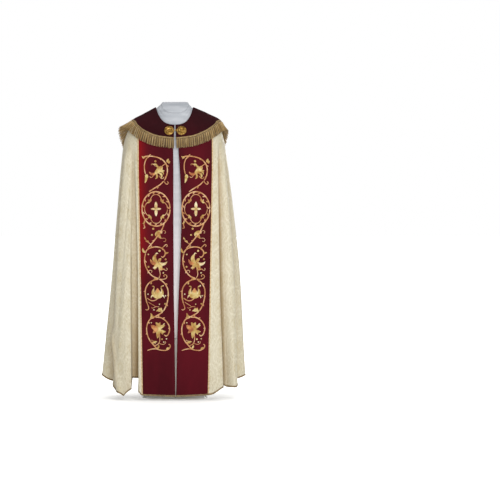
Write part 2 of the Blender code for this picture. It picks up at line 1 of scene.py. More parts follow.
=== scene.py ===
# %% [markdown]
# # A cope on a dress form
# A cope is a long open cloak of brocade, worn by clergy. This one hangs from a limbless dress form. Two bands of
# burgundy velvet run down its front edges, and a velvet hood, which long ago became a flat cape with a point at
# the back, lies over the shoulders with a gold fringe. The lesson builds each cloth as a surface worked out with
# numpy from a few measured rings and folds, then dresses it with woven, piled and embroidered finishes.

from collections import namedtuple
from functools import partial

import bpy
import numpy as np
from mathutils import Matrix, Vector


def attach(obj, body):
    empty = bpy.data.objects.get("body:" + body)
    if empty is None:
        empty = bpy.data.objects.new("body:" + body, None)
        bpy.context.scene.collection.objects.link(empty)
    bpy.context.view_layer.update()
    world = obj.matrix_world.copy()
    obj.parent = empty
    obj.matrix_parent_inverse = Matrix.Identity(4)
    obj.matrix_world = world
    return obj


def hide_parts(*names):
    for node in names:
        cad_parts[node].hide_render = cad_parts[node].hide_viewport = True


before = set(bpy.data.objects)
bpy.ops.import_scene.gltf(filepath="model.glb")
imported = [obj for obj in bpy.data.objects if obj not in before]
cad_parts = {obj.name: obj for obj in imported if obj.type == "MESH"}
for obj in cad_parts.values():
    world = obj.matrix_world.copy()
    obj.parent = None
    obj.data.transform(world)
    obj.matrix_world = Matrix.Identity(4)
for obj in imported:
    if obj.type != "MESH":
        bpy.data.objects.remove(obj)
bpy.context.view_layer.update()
MM = 0.001

# %% [markdown]
# ## Camera
# A garment is shown square on with a long lens, so that its hem and shoulders keep their true widths. The
# camera stands 12 m away, a little above the middle of the cloth, and sees a frame 2.5 m wide. The figure
# stands left of the middle of that frame, so the lens is shifted instead of turned, which keeps upright folds
# upright.

# %% Camera
def put(name, data, place=(0.0, 0.0, 0.0), aim=None):
    """An object that stands at a place and, if aim is given, looks at that point."""
    made = bpy.data.objects.new(name, data)
    made.location = place
    if aim:
        made.rotation_euler = (Vector(aim) - Vector(place)).to_track_quat("-Z", "Y").to_euler()
    bpy.context.scene.collection.objects.link(made)
    return made


CAMERA_DISTANCE = 12.0
FRAME_WIDTH = 2.528
LOOK_HEIGHT = 0.747
CAMERA_RISE = 0.31
CAMERA_SHIFT = 0.15
SENSOR = 36.0

camera_data = bpy.data.cameras.new("camera")
camera_data.sensor_width = SENSOR
camera_data.lens = SENSOR * CAMERA_DISTANCE / FRAME_WIDTH
camera_data.shift_x = CAMERA_SHIFT
stand = (0.0, -CAMERA_DISTANCE, LOOK_HEIGHT + CAMERA_RISE)
bpy.context.scene.camera = put("camera", camera_data, stand, (0.0, 0.0, LOOK_HEIGHT))
print("lens", round(camera_data.lens, 1), "mm")


# %% Colour and node helpers
def linear(hex_colour):
    """sRGB hex to linear RGBA: each channel c becomes ((c + 0.055) / 1.055) ** 2.4, or c / 12.92 near black."""
    channels = np.array([int(hex_colour[k : k + 2], 16) for k in (1, 3, 5)]) / 255
    curved = np.where(channels <= 0.04045, channels / 12.92, ((channels + 0.055) / 1.055) ** 2.4)
    return (*curved.tolist(), 1.0)


def node(tree, kind, inputs=(), output=0, **settings):
    """Adds one shader node, applies its settings, and sets or links its inputs, given as a dictionary or as a row
    of values for inputs 0, 1, 2 and so on. Math.ADD as the kind also names the operation. Returns one output."""
    kind, *operation = kind.split(".")
    made = tree.nodes.new("ShaderNode" + kind)
    for key, value in (settings | dict(zip(["operation"], operation))).items():
        setattr(made, key, value)
    for key, value in inputs.items() if isinstance(inputs, dict) else enumerate(inputs):
        if isinstance(value, bpy.types.NodeSocket):
            tree.links.new(value, made.inputs[key])
        else:
            made.inputs[key].default_value = value
    return made.outputs[output]


def new_material(name, colour, roughness, metallic=0.0, **sockets):
    """A Principled material with its steady values set on the shader's own sockets. Returns it, the function that
    adds a node to it, and its shader."""
    made = bpy.data.materials.new(name)
    made.use_nodes = True
    shader = made.node_tree.nodes["Principled BSDF"]
    steady = {"Base Color": linear(colour), "Roughness": roughness, "Metallic": metallic, **sockets}
    for key, value in steady.items():
        shader.inputs[key.replace("_", " ")].default_value = value
    return made, partial(node, made.node_tree), shader


def coat(shader, colour, height, strength, distance, roughness=None):
    """Links a colour, a height as bump at most distance metres deep, and any roughness to the shader."""
    tree = shader.id_data
    bump = node(tree, "Bump", {"Height": height, "Strength": strength, "Distance": distance})
    for key, socket in (("Base Color", colour), ("Normal", bump), ("Roughness", roughness)):
        if socket:
            tree.links.new(socket, shader.inputs[key])


print("mid grey in linear light:", round(linear("#808080")[0], 3))

# %% [markdown]
# ## The shapes of the cloth
# Every cloth here hangs on one form, a bell: the shoulders at the top, then rings that widen towards the hem. Three
# ways could make it. A simulation would drape a flat half circle, but its folds would fall where they like. Sculpted
# curves would give the folds but not the sizes. So the bell is a short table of measured rings, and the folds are a
# table of lines, crest and valley, that run from neck to hem. Each row of the fold table says where a line lies and
# how far the cloth stands out there, and a half cosine joins it to the next one.

# %% Rings of the bell
Ring = namedtuple("Ring", "name z_front z_side z_back half_left half_right front back square lift")
RINGS = [
    Ring("neckline", 1376, 1465, 1479, 94, 89, 97, 72, 2.5, 4.4),
    Ring("yoke", 1362, 1425, 1437, 156, 166, 106, 98, 2.2, 3.2),
    Ring("cap", 1345, 1392, 1394, 210, 222, 115, 118, 2.2, 2.6),
    Ring("shoulder", 1318, 1347, 1346, 236, 234, 122, 134, 2.3, 2.2),
    Ring("upper_arm", 1258, 1284, 1276, 257, 249, 128, 146, 2.3, 2.0),
    Ring("chest", 1140, 1156, 1144, 272, 268, 136, 168, 2.3, 2.0),
    Ring("waist", 892, 906, 896, 292, 298, 150, 206, 2.3, 2.0),
    Ring("hip", 592, 622, 602, 312, 324, 168, 246, 2.3, 2.0),
    Ring("knee", 292, 352, 330, 334, 336, 186, 282, 2.3, 2.0),
    Ring("hem", 20, 127, 106, 357, 346, 202, 312, 2.3, 2.2),
]

# %% Lines of the folds
Line = namedtuple("Line", "name unit place_chest place_hip place_hem out_chest out_hip out_hem hem_z steps")
LINES = [
    Line("front_edge_left", "mm", 9, 7, -2, 0, 0, 0, 21, 30),
    Line("orphrey_side_left", "mm", 181, 170, 160, 0, 0, 0, 26, 2),
    Line("edging_side_left", "mm", 187, 176, 166, 0, 0, 2, 27, 4),
    Line("strip_crest_left", "mm", 195, 183, 178, 0, 1, 3, 40, 10),
    Line("valley_inner_left", "mm", 206, 190, 193, -6, -23, -64, 112, 8),
    Line("valley_outer_left", "mm", 219, 225, 228, -7, -15, -46, 113, 14),
    Line("main_edge_left", "mm", 230, 226, 218, 0, -2, 1, 56, 10),
    Line("main_crest_left", "mm", 241, 251, 252, 1, 8, 12, 34, 16),
    Line("groove_left", "deg", 70, 74, 71, -4, -16, -40, 92, 16),
    Line("outer_crest_left", "deg", 87, 88, 84, 0, 4, 12, 118, 18),
    Line("seam_valley_left", "deg", 101, 102, 100, -8, -40, -84, 116, 18),
    Line("rear_crest_left", "deg", 113, 113, 113, 0, 10, 24, 110, 18),
    Line("panel_valley_left", "deg", 127, 128, 129, -14, -44, -84, 120, 18),
    Line("panel_crest_left", "deg", 141, 142, 144, 0, 8, 20, 104, 16),
    Line("soft_valley_left", "deg", 160, 160, 160, -3, -16, -40, 110, 16),
    Line("back_crest", "deg", 177, 178, 180, 0, 3, 10, 102, 16),
    Line("soft_valley_right", "deg", 194, 194, 193, -3, -15, -36, 108, 16),
    Line("panel_crest_right", "deg", 205, 206, 204, 0, 8, 18, 104, 18),
    Line("panel_valley_right", "deg", 216, 218, 220, -14, -44, -82, 118, 18),
    Line("rear_crest_right", "deg", 233, 235, 238, 0, 10, 24, 108, 18),
    Line("mid_valley_right", "deg", 246, 247, 249, -6, -30, -66, 116, 16),
    Line("mid_crest_right", "deg", 255, 256, 258, 0, 4, 10, 112, 16),
    Line("seam_valley_right", "deg", 264, 264, 266, -6, -30, -66, 124, 16),
    Line("outer_crest_right", "deg", 276, 277, 280, 0, 4, 11, 118, 16),
    Line("groove_right", "deg", 289, 290, 294, -6, -14, -26, 103, 16),
    Line("fold_crest_right", "mm", -251, -278, -294, 1, 6, 12, 62, 12),
    Line("valley_outer_right", "mm", -237, -253, -277, -5, -14, -32, 66, 8),
    Line("deep_valley_right", "mm", -222, -235, -260, -15, -38, -62, 84, 14),
    Line("panel_side_right", "mm", -212, -218, -234, 2, 4, 5, 62, 8),
    Line("edging_side_right", "mm", -190, -180, -169, 0, 0, 2, 28, 2),
    Line("orphrey_side_right", "mm", -184, -174, -163, 0, 0, 0, 27, 30),
    Line("front_edge_right", "mm", -26, -24, -5, 0, 0, 0, 21, 0),
]
FOLDS_BEGIN, CHEST, HIP, HEM = 1300.0, 1150.0, 600.0, 21.0
SHOULDER_LEVEL = 0.34
HEM_RISE_FROM = 0.6
Gap = namedtuple("Gap", "z left right")
FRONT_GAP = [
    *(Gap(20, -2, -5), Gap(380, 3, -13), Gap(550, 6, -19), Gap(700, 7, -26)),
    *(Gap(940, 8, -32), Gap(1150, 8, -24), Gap(1262, 9, -17), Gap(1400, 9, -13)),
]
print(len(RINGS), "rings,", len(LINES), "fold lines")


# %% Curves through tables
def curve(x, xs, ys):
    """The cubic through the points (xs, ys) that never overshoots them: each inner slope is the weighted harmonic
    mean of the rises on both sides, or 0 at a turning point. Flat past both ends."""
    xs, ys = np.asarray(xs, float), np.asarray(ys, float)
    step = np.diff(xs)
    rise = np.diff(ys) / step
    slope = np.zeros_like(ys)
    slope[0], slope[-1] = rise[0], rise[-1]
    product = rise[:-1] * rise[1:]
    same = product > 0
    weight_a, weight_b = 2 * step[1:] + step[:-1], step[1:] + 2 * step[:-1]
    below = np.where(same, weight_a * rise[1:] + weight_b * rise[:-1], 1.0)
    slope[1:-1] = np.where(same, (weight_a + weight_b) * product / below, 0.0)
    x = np.clip(x, xs[0], xs[-1])
    k = np.clip(np.searchsorted(xs, x, side="right") - 1, 0, len(xs) - 2)
    t = (x - xs[k]) / step[k]
    start, end = slope[k] * step[k], slope[k + 1] * step[k]
    return (
        (2 * t**3 - 3 * t**2 + 1) * ys[k]
        + (t**3 - 2 * t**2 + t) * start
        + (3 * t**2 - 2 * t**3) * ys[k + 1]
        + (t**3 - t**2) * end
    )


def hump(x, middle, width):
    """A bell curve that is 1 in the middle: exp(-((x - middle) / width)^2)."""
    return np.exp(-(((x - middle) / width) ** 2))


def unit(vectors):
    """Vectors of length 1 in the same directions."""
    return vectors / np.linalg.norm(vectors, axis=-1, keepdims=True)


def run_along(points, axis=0):
    """The length from the start to each point of a path, or of every line of a grid that goes along the axis."""
    steps = np.linalg.norm(np.diff(points, axis=axis), axis=-1)
    return np.concatenate([np.zeros_like(steps.take([0], axis)), np.cumsum(steps, axis=axis)], axis=axis)


def eased(t):
    """A half cosine from 0 to 1: (1 - cos(pi t)) / 2, the side of a soft fold."""
    return (1 - np.cos(np.pi * np.clip(t, 0, 1))) / 2


print("a hump is", hump(0.0, 0.0, 1.0), "high in its middle")


# %% Shape of the bell
def ring_value(column, level):
    """One column of RINGS at a level from 0 at the neckline to 1 at the hem."""
    return curve(level, np.linspace(0, 1, len(RINGS)), [getattr(ring, column) for ring in RINGS])


def bell(turn, level):
    """Points of the unfolded bell, in mm. x = -half * sin(turn) * reach and y = -depth * cos(turn) * reach, where
    reach = (|sin|^p + |cos|^p)^(-1/p) squares the ring, and the height goes from the ends' to the side's as
    |sin|^lift. Half width and depth pass smoothly from one side's value to the other's."""
    turn, level = np.broadcast_arrays(np.asarray(turn, float), np.asarray(level, float))
    side, ahead = np.sin(turn), np.cos(turn)
    half = (ring_value("half_left", level) * (1 + side) + ring_value("half_right", level) * (1 - side)) / 2
    depth = (ring_value("front", level) * (1 + ahead) + ring_value("back", level) * (1 - ahead)) / 2
    power = ring_value("square", level)
    reach = (np.abs(side) ** power + np.abs(ahead) ** power) ** (-1 / power)
    ends = (ring_value("z_front", level) * (1 + ahead) + ring_value("z_back", level) * (1 - ahead)) / 2
    lift = np.abs(side) ** ring_value("lift", level)
    height = ring_value("z_side", level) * lift + ends * (1 - lift)
    return np.stack([-half * side * reach, -depth * ahead * reach, height], axis=-1)


def bell_normal(turn, level):
    """Outward unit normals: the cross product of small steps across and down."""
    small = 1e-3
    across = bell(turn + small, level) - bell(turn - small, level)
    down = bell(turn, np.clip(level + small, 0, 1)) - bell(turn, np.clip(level - small, 0, 1))
    return unit(np.cross(across, down))


def grid_normals(points):
    """Outward unit normals of a grid whose rows go down and whose columns go over the left shoulder."""
    return unit(np.cross(np.gradient(points, axis=1), np.gradient(points, axis=0)))


print("the hem is", ring_value("half_left", 1.0) + ring_value("half_right", 1.0), "mm wide")


# %% Places on the bell
def turn_at(distance, level):
    """The turn, in radians, where the bell lies this many mm to the left of the middle."""
    turns = np.linspace(-1.5, 1.5, 601)
    return np.interp(distance, -bell(turns, level)[:, 0], turns)


def line_turn(line, level):
    """Where a fold line lies at each level, in radians."""
    at_height = ring_value("z_front", level)
    place = curve(at_height, [HEM, HIP, CHEST], [line.place_hem, line.place_hip, line.place_chest])
    if line.name.startswith("front_edge"):
        side = line.name.rsplit("_", 1)[1]
        place = curve(at_height, [row.z for row in FRONT_GAP], [getattr(row, side) for row in FRONT_GAP])
    if line.unit == "deg":
        return np.radians(place)
    reached = np.maximum(level, 0.0 if line.name.startswith("front_edge") else SHOULDER_LEVEL)
    found = np.array([turn_at(p, v) for p, v in zip(place, reached)])
    return found if line.name.endswith("left") else found + 2 * np.pi


def line_out(line, level):
    """How far the cloth stands out of the bell on a line, in mm."""
    heights = [HEM, HIP, CHEST, FOLDS_BEGIN, RINGS[0].z_front]
    return curve(ring_value("z_front", level), heights, [line.out_hem, line.out_hip, line.out_chest, 0, 0])


print("the left band's side lies", round(float(np.degrees(turn_at(181, 0.6)))), "degrees round at the waist")

# %% [markdown]
# ## Small creases
# Between its large folds, real brocade is never smooth: it keeps shallow troughs where it was folded for storage and
# drags where the weight of the bands pulls on it. Noise would scatter them evenly, which looks like crumpled paper.
# A short table of single creases, each with its own place, slant, width and depth, looks like worn cloth instead.

# %% Table of creases
Crease = namedtuple("Crease", "top_turn hem_turn width height z_top z_end")
CREASES = [
    Crease(44, 52, 1.9, 3, 900, 200),
    Crease(63, 62, 7, 10, 1280, 300),
    Crease(70, 37.5, 3, 15, 430, -60),
    Crease(77, 44.5, 3.6, -9, 420, -60),
    Crease(51, 55, 1.5, -3, 1180, 380),
    Crease(63, 60, 1.6, 2.6, 1120, 520),
    Crease(76, 72, 1.9, -3.2, 1220, 200),
    Crease(83, 88, 1.7, 2.8, 900, 60),
    Crease(95, 93, 1.8, 3.2, 1150, 160),
    Crease(108, 111, 1.7, -3.4, 1000, 90),
    Crease(119, 117, 2.2, 4, 860, 90),
    Crease(134, 137, 2.2, -3.2, 900, 100),
    Crease(149, 152, 2.4, 3.6, 940, 90),
    Crease(154, 146, 1.6, -2.6, 700, 90),
    Crease(168, 171, 2.6, 3, 880, 120),
    Crease(173, 176, 1.6, -2.4, 900, 300),
    Crease(186, 184, 2.4, 3.4, 860, 90),
    Crease(190, 197, 1.6, -2.6, 760, 90),
    Crease(200, 199, 2, 2.6, 900, 300),
    Crease(211, 212, 1.9, -3.4, 1000, 90),
    Crease(226, 229, 2.4, 4, 1050, 90),
    Crease(240, 243, 1.9, -3.2, 900, 90),
    Crease(251, 253, 1.6, 2.8, 1100, 200),
    Crease(270, 273, 1.9, 3.2, 1000, 130),
    Crease(282, 286, 1.7, -2.8, 1180, 160),
    Crease(299, 301, 1.9, 3, 1100, 90),
    Crease(305, 307, 1.6, -3, 1240, 420),
    Crease(312, 322, 2, 2.4, 800, 60),
]
FADE = 90.0


def crease_height(turn, height):
    """Sum over the creases of height * exp(-((turn - middle) / width)^2), faded over 90 mm at each end, where the
    middle moves in a straight line from its top turn to its hem turn."""
    total = np.zeros_like(turn)
    degrees = np.degrees(turn)
    for row in CREASES:
        share = np.clip((row.z_top - height) / (row.z_top - row.z_end), 0, 1)
        middle = row.top_turn + (row.hem_turn - row.top_turn) * share
        shown = eased((row.z_top - height) / FADE) * eased((height - row.z_end) / FADE + 0.6)
        total += row.height * shown * hump(degrees, middle, row.width)
    return total


print(len(CREASES), "creases")

# %% The folded mantle as one grid
ROW_COUNT, DENSE_ROWS = 170, 40
NECK_LEVEL, DENSE_LEVEL = 0.02, 0.4
Tip = namedtuple("Tip", "turn width drop")
HEM_TIPS = [Tip(42.8, 1.7, 13.0), Tip(88.0, 4.0, 7.0), Tip(274.0, 4.0, 6.0)]
FOLD_SHARPNESS = 0.7
LINE_GAP = 0.25
# Painted shade in the fold valleys: VALLEY_DEPTHS is how deep a valley must sink, at each height, for its painted
# shade to be full, and RIGHT_VALLEY makes it weaker on the right.
VALLEY_POWER, RIGHT_VALLEY = 1.6, 0.85
VALLEY_HEIGHTS, VALLEY_DEPTHS = (20.0, 600.0, 1150.0, 1300.0), (58.0, 28.0, 13.0, 10.0)
# Spots of painted shade on the front of the brocade: middle x and z, width and height in mm, and strength.
Shade = namedtuple("Shade", "x z width height amount")
SHADES = [
    Shade(-314, 210, 20, 170, 0.42),
    Shade(-235, 60, 22, 70, 0.28),
    Shade(-200, 240, 12, 240, 0.35),
    Shade(227, 520, 5, 260, 0.5),
    Shade(230, 1000, 12, 130, 0.25),
]


def fold_shape(share, rising):
    """Hanging folds are round at the crest and tight in the valley: from valley to crest sin(90 degrees * share),
    mixed with the even ease."""
    tight = np.where(rising, np.sin(np.pi / 2 * share), 1 - np.cos(np.pi / 2 * share))
    return eased(share) * (1 - FOLD_SHARPNESS) + tight * FOLD_SHARPNESS


def mantle_grid(levels):
    """Points and normals of the mantle's inner face, a row for each level: the bell moved out by the folds and the
    creases, with the hem raised or lowered line by line over the last two fifths of the length. Above the chest
    the lines keep LINE_GAP degrees apart, or two of them would meet. The last array is painted shade for the
    brocade: 1 in deep valleys, 0 on the crests, in between on the valleys' sides, and raised in the SHADES spots."""
    turns = np.stack([line_turn(line, levels) for line in LINES], axis=1)
    apart = np.radians(LINE_GAP) * np.arange(len(LINES))
    spread = np.maximum.accumulate(turns - apart, axis=1) + apart
    turns = np.where(ring_value("z_front", levels)[:, None] > CHEST, spread, turns)
    outs = np.stack([line_out(line, levels) for line in LINES], axis=1)
    hems = np.array([line.hem_z for line in LINES], float)
    counts = [line.steps for line in LINES[:-1]]
    marks = dict(zip([line.name for line in LINES], np.concatenate([[0], np.cumsum(counts)]).tolist()))
    start = np.repeat(np.arange(len(counts)), counts)
    share = np.concatenate([np.arange(count) / count for count in counts])
    start, share = np.append(start, len(counts) - 1), np.append(share, 1.0)
    turn = turns[:, start] * (1 - share) + turns[:, start + 1] * share
    change = outs[:, start + 1] - outs[:, start]
    out = outs[:, start] + change * fold_shape(share, change >= 0)
    drop = hems[start + 1] - hems[start]
    hem = hems[start] + drop * fold_shape(share, drop < 0)
    for row in HEM_TIPS:
        hem = hem - row.drop * hump(np.degrees(turn[-1]), row.turn, row.width)
    level = np.repeat(np.asarray(levels)[:, None], turn.shape[1], axis=1)
    smooth = bell(turn, level)
    out = out + crease_height(turn, smooth[..., 2])
    points = smooth + bell_normal(turn, level) * out[..., None]
    # Painted shade: tan in the fold valleys, fuller where the cloth sinks deeper below the bell, weaker on the right,
    # and darker in the SHADES spots on the front.
    deep = np.interp(smooth[..., 2], VALLEY_HEIGHTS, VALLEY_DEPTHS)
    valley = np.clip(-out / deep, 0, 1) ** VALLEY_POWER * np.where(turn > np.pi, RIGHT_VALLEY, 1.0)
    for row in SHADES:
        far = ((points[..., 0] - row.x) / row.width) ** 2 + ((points[..., 2] - row.z) / row.height) ** 2
        valley = np.maximum(valley, row.amount * np.exp(-far) * (points[..., 1] < 0))
    rise = hem - bell(turn[-1], np.ones(turn.shape[1]))[:, 2]
    points[..., 2] += rise * eased((level - HEM_RISE_FROM) / (1 - HEM_RISE_FROM))
    return points, grid_normals(points), marks, valley


upper = np.linspace(NECK_LEVEL, DENSE_LEVEL, DENSE_ROWS, endpoint=False)
LEVELS = np.concatenate([upper, np.linspace(DENSE_LEVEL, 1.0, ROW_COUNT - DENSE_ROWS)])
mantle_points, mantle_normals, MARKS, mantle_fold_shade = mantle_grid(LEVELS)
assert np.isfinite(mantle_points).all() and np.isfinite(mantle_normals).all(), "a fold line meets the next one"
hem_steps = np.linalg.norm(np.diff(mantle_points[-1], axis=0), axis=1)
print("the mantle has", mantle_points.shape[:2], "points and a hem of", round(hem_steps.sum() * MM, 2), "m")

# %% [markdown]
# ## From grids to meshes
# A cloth is two faces with a thin wall between them, so each piece is made from an inner and an outer grid, joined
# round its edge. Solidify would do the same, but here the braids and bands are made from the panel's own points,
# moved out, and so they can never sink into it. The flat cut of the cloth becomes its UV map, in metres, which is
# what lets a woven pattern follow the folds.


# %% Mesh helpers
def faced_out(points, faces):
    """The faces of a closed body, turned over if they face inwards: then its volume, the sum over its triangles
    of p . (q x r) / 6 with p, q and r the corners, comes out negative."""
    points = points - points.mean(axis=0)
    six_volumes = sum(
        (points[array[:, 0]] * np.cross(points[array[:, k]], points[array[:, k + 1]])).sum()
        for array in faces
        for k in range(1, array.shape[1] - 1)
    )
    return faces if six_volumes > 0 else [array[:, ::-1] for array in faces]


def make_mesh(name, points, faces, uv, materials, indices=None):
    """A smooth mesh from points in mm, a list of face arrays (each with its own number of corners), one UV for
    each point, and a material index for each face."""
    faces = [np.asarray(array, np.int32) for array in faces]
    corners = np.concatenate([array.ravel() for array in faces])
    sizes = np.concatenate([np.full(len(array), array.shape[1]) for array in faces])
    starts = np.concatenate([[0], np.cumsum(sizes)[:-1]]).astype(np.int32)
    mesh = bpy.data.meshes.new(name)
    mesh.vertices.add(len(points))
    mesh.vertices.foreach_set("co", (np.asarray(points) * MM).astype(np.float32).ravel())
    mesh.loops.add(len(corners))
    mesh.loops.foreach_set("vertex_index", corners)
    mesh.polygons.add(len(sizes))
    mesh.polygons.foreach_set("loop_start", starts)
    mesh.polygons.foreach_set("use_smooth", np.full(len(sizes), True))
    layer = mesh.uv_layers.new(name="cut")
    layer.data.foreach_set("uv", np.asarray(uv, np.float32)[corners].ravel())
    for material in materials:
        mesh.materials.append(material)
    if indices is not None:
        mesh.polygons.foreach_set("material_index", np.asarray(indices, np.int32))
    mesh.update()
    mesh.validate()
    return put(name, mesh)


def walls(index, closed=False):
    """Four-cornered faces between each ring of a grid of point numbers and the next one."""
    near, far = (index, np.roll(index, -1, axis=0)) if closed else (index[:-1], index[1:])
    corners = (near, np.roll(near, -1, -1), np.roll(far, -1, -1), far)
    return np.stack([corner.ravel() for corner in corners], axis=1)


def ring_body(grid, ends):
    """Points and faces of a closed body: rings of points, and triangles that meet at an end point on each side."""
    index = np.arange(grid[..., 0].size).reshape(grid.shape[:2])
    first, last = (np.full(grid.shape[1], index.size + k) for k in (0, 1))
    start = np.stack([np.roll(index[0], -1), index[0], first], axis=1)
    stop = np.stack([index[-1], np.roll(index[-1], -1), last], axis=1)
    return np.concatenate([grid.reshape(-1, 3), ends]), [walls(index), start, stop]


print("two rings of 3 points make", len(walls(np.arange(6).reshape(2, 3))), "faces")


# %% Shells
def dress(piece, slot, *nodes):
    """Rides the piece on the body and hides the plain solids it stands for. slot is not used."""
    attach(piece, "root")
    if nodes:
        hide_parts(*nodes)
    return piece


def shell(name, inner, outer, uv, materials):
    """A closed thin shell: the outer grid faces out with the first material, the inner grid and the edges have
    the last one."""
    rows, columns = outer.shape[:2]
    near = np.arange(rows * columns).reshape(rows, columns)
    far = near + rows * columns

    def quads(a, b, c, d):
        return np.stack([a.ravel(), b.ravel(), c.ravel(), d.ravel()], axis=1)

    out = quads(near[:-1, :-1], near[:-1, 1:], near[1:, 1:], near[1:, :-1])
    back = quads(far[:-1, :-1], far[1:, :-1], far[1:, 1:], far[:-1, 1:])
    edge = np.concatenate(
        [
            quads(near[0, 1:], near[0, :-1], far[0, :-1], far[0, 1:]),
            quads(near[-1, :-1], near[-1, 1:], far[-1, 1:], far[-1, :-1]),
            quads(near[:-1, 0], near[1:, 0], far[1:, 0], far[:-1, 0]),
            quads(near[1:, -1], near[:-1, -1], far[:-1, -1], far[1:, -1]),
        ]
    )
    points = np.concatenate([outer.reshape(-1, 3), inner.reshape(-1, 3)])
    both = np.concatenate([uv.reshape(-1, 2)] * 2)
    last = len(materials) - 1
    indices = np.concatenate([np.zeros(len(out)), np.full(len(back) + len(edge), last)])
    return make_mesh(name, points, [out, back, edge], both, materials, indices)


print("shell helpers are ready")


# %% Flat cuts and strips
def flat_cut(points):
    """The flat cut of a flared panel as UVs in metres. Length down each column is the radius and the width along
    the hem is the arc, on a circle whose middle is placed so that the top keeps its true width too."""
    length = run_along(points)
    across = np.linalg.norm(np.diff(points, axis=1), axis=2)
    upper = int(0.3 * len(points))
    ratio = min(across[upper].sum() / across[-1].sum(), 0.97)
    top, full = length[upper].mean(), length[-1].mean()
    centre = (ratio * full - top) / (1 - ratio)
    arc = run_along(points[-1])
    angle = (arc - arc.mean()) / (centre + full)
    radius = centre + length
    return np.stack([radius * np.sin(angle), -radius * np.cos(angle)], axis=-1) * MM


def cloth_area(points):
    """Area of a grid in square metres: half the cross product of each quad's two diagonals, summed up."""
    one, two = points[1:, 1:] - points[:-1, :-1], points[1:, :-1] - points[:-1, 1:]
    return float(0.5 * np.linalg.norm(np.cross(one, two), axis=-1).sum()) * MM * MM


def flat_size(uv, points):
    """Width and length of the flat cut in metres, and its area: cloth does not stretch, so that is the cloth's."""
    span = uv.reshape(-1, 2).max(0) - uv.reshape(-1, 2).min(0)
    return (float(span[0]), float(span[1])), cloth_area(points)


def strip_size(points):
    """The same for a long strip: its widest row and its longest column."""
    across = np.linalg.norm(np.diff(points, axis=1), axis=2).sum(axis=1).max() * MM
    down = np.linalg.norm(np.diff(points, axis=0), axis=2).sum(axis=0).max() * MM
    return (float(across), float(down)), cloth_area(points)


def narrowed(grid, first, last, gap_first, gap_last):
    """Columns first to last of a grid, the end columns drawn in by a gap in mm."""
    part = grid[:, first : last + 1].copy()
    for end, inside, gap in ((0, 1, gap_first), (-1, -2, gap_last)):
        run = part[:, inside] - part[:, end]
        part[:, end] += run * (gap / np.linalg.norm(run, axis=-1, keepdims=True))
    return part


def drawn_up(grid, length):
    """The grid with its lowest rows moved up so that it ends this many mm sooner."""
    depth = run_along(grid)
    ending = depth[-1] - length
    wanted = np.minimum(depth, ending + (depth - depth[-1]) * 1e-3)
    out = np.empty_like(grid)
    for column in range(grid.shape[1]):
        for axis in range(3):
            out[:, column, axis] = np.interp(wanted[:, column], depth[:, column], grid[:, column, axis])
    return out


print("mesh helpers are ready")

# %% [markdown]
# ## Brocade
# Brocade is woven with extra threads that float over a satin ground and make a figure. Here the ground is cream silk,
# and pale gold threads draw scalloped medallions, set in staggered rows like bricks. The figure is pure arithmetic on
# the flat cut: the distance from the nearest medallion's middle, with a wavy edge, makes the contour lines. A gold
# fleck and a fine diagonal twill lie over all of it. Where the float threads lie the cloth shines more.

# %% Brocade material
# In metres. The real twill repeats every 0.5 mm and its flecks are 1 mm long: too fine to show, so drawn coarser.
MEDALLION_WIDTH, MEDALLION_HEIGHT = 0.165, 0.225
FLECK_LENGTH, TWILL = 0.0042, 0.0036
# The tan of the painted shade in the brocade's fold valleys.
VALLEY_SHADE_TAN = "#9A7C4C"
CONTOURS, GOLD_CONTOURS = 46.0, 19.0
CREAM, FLOAT_WHITE, PALE_GOLD, FLECK_GOLD = "#CEC6AE", "#E6E0CE", "#BBA978", "#9C844C"


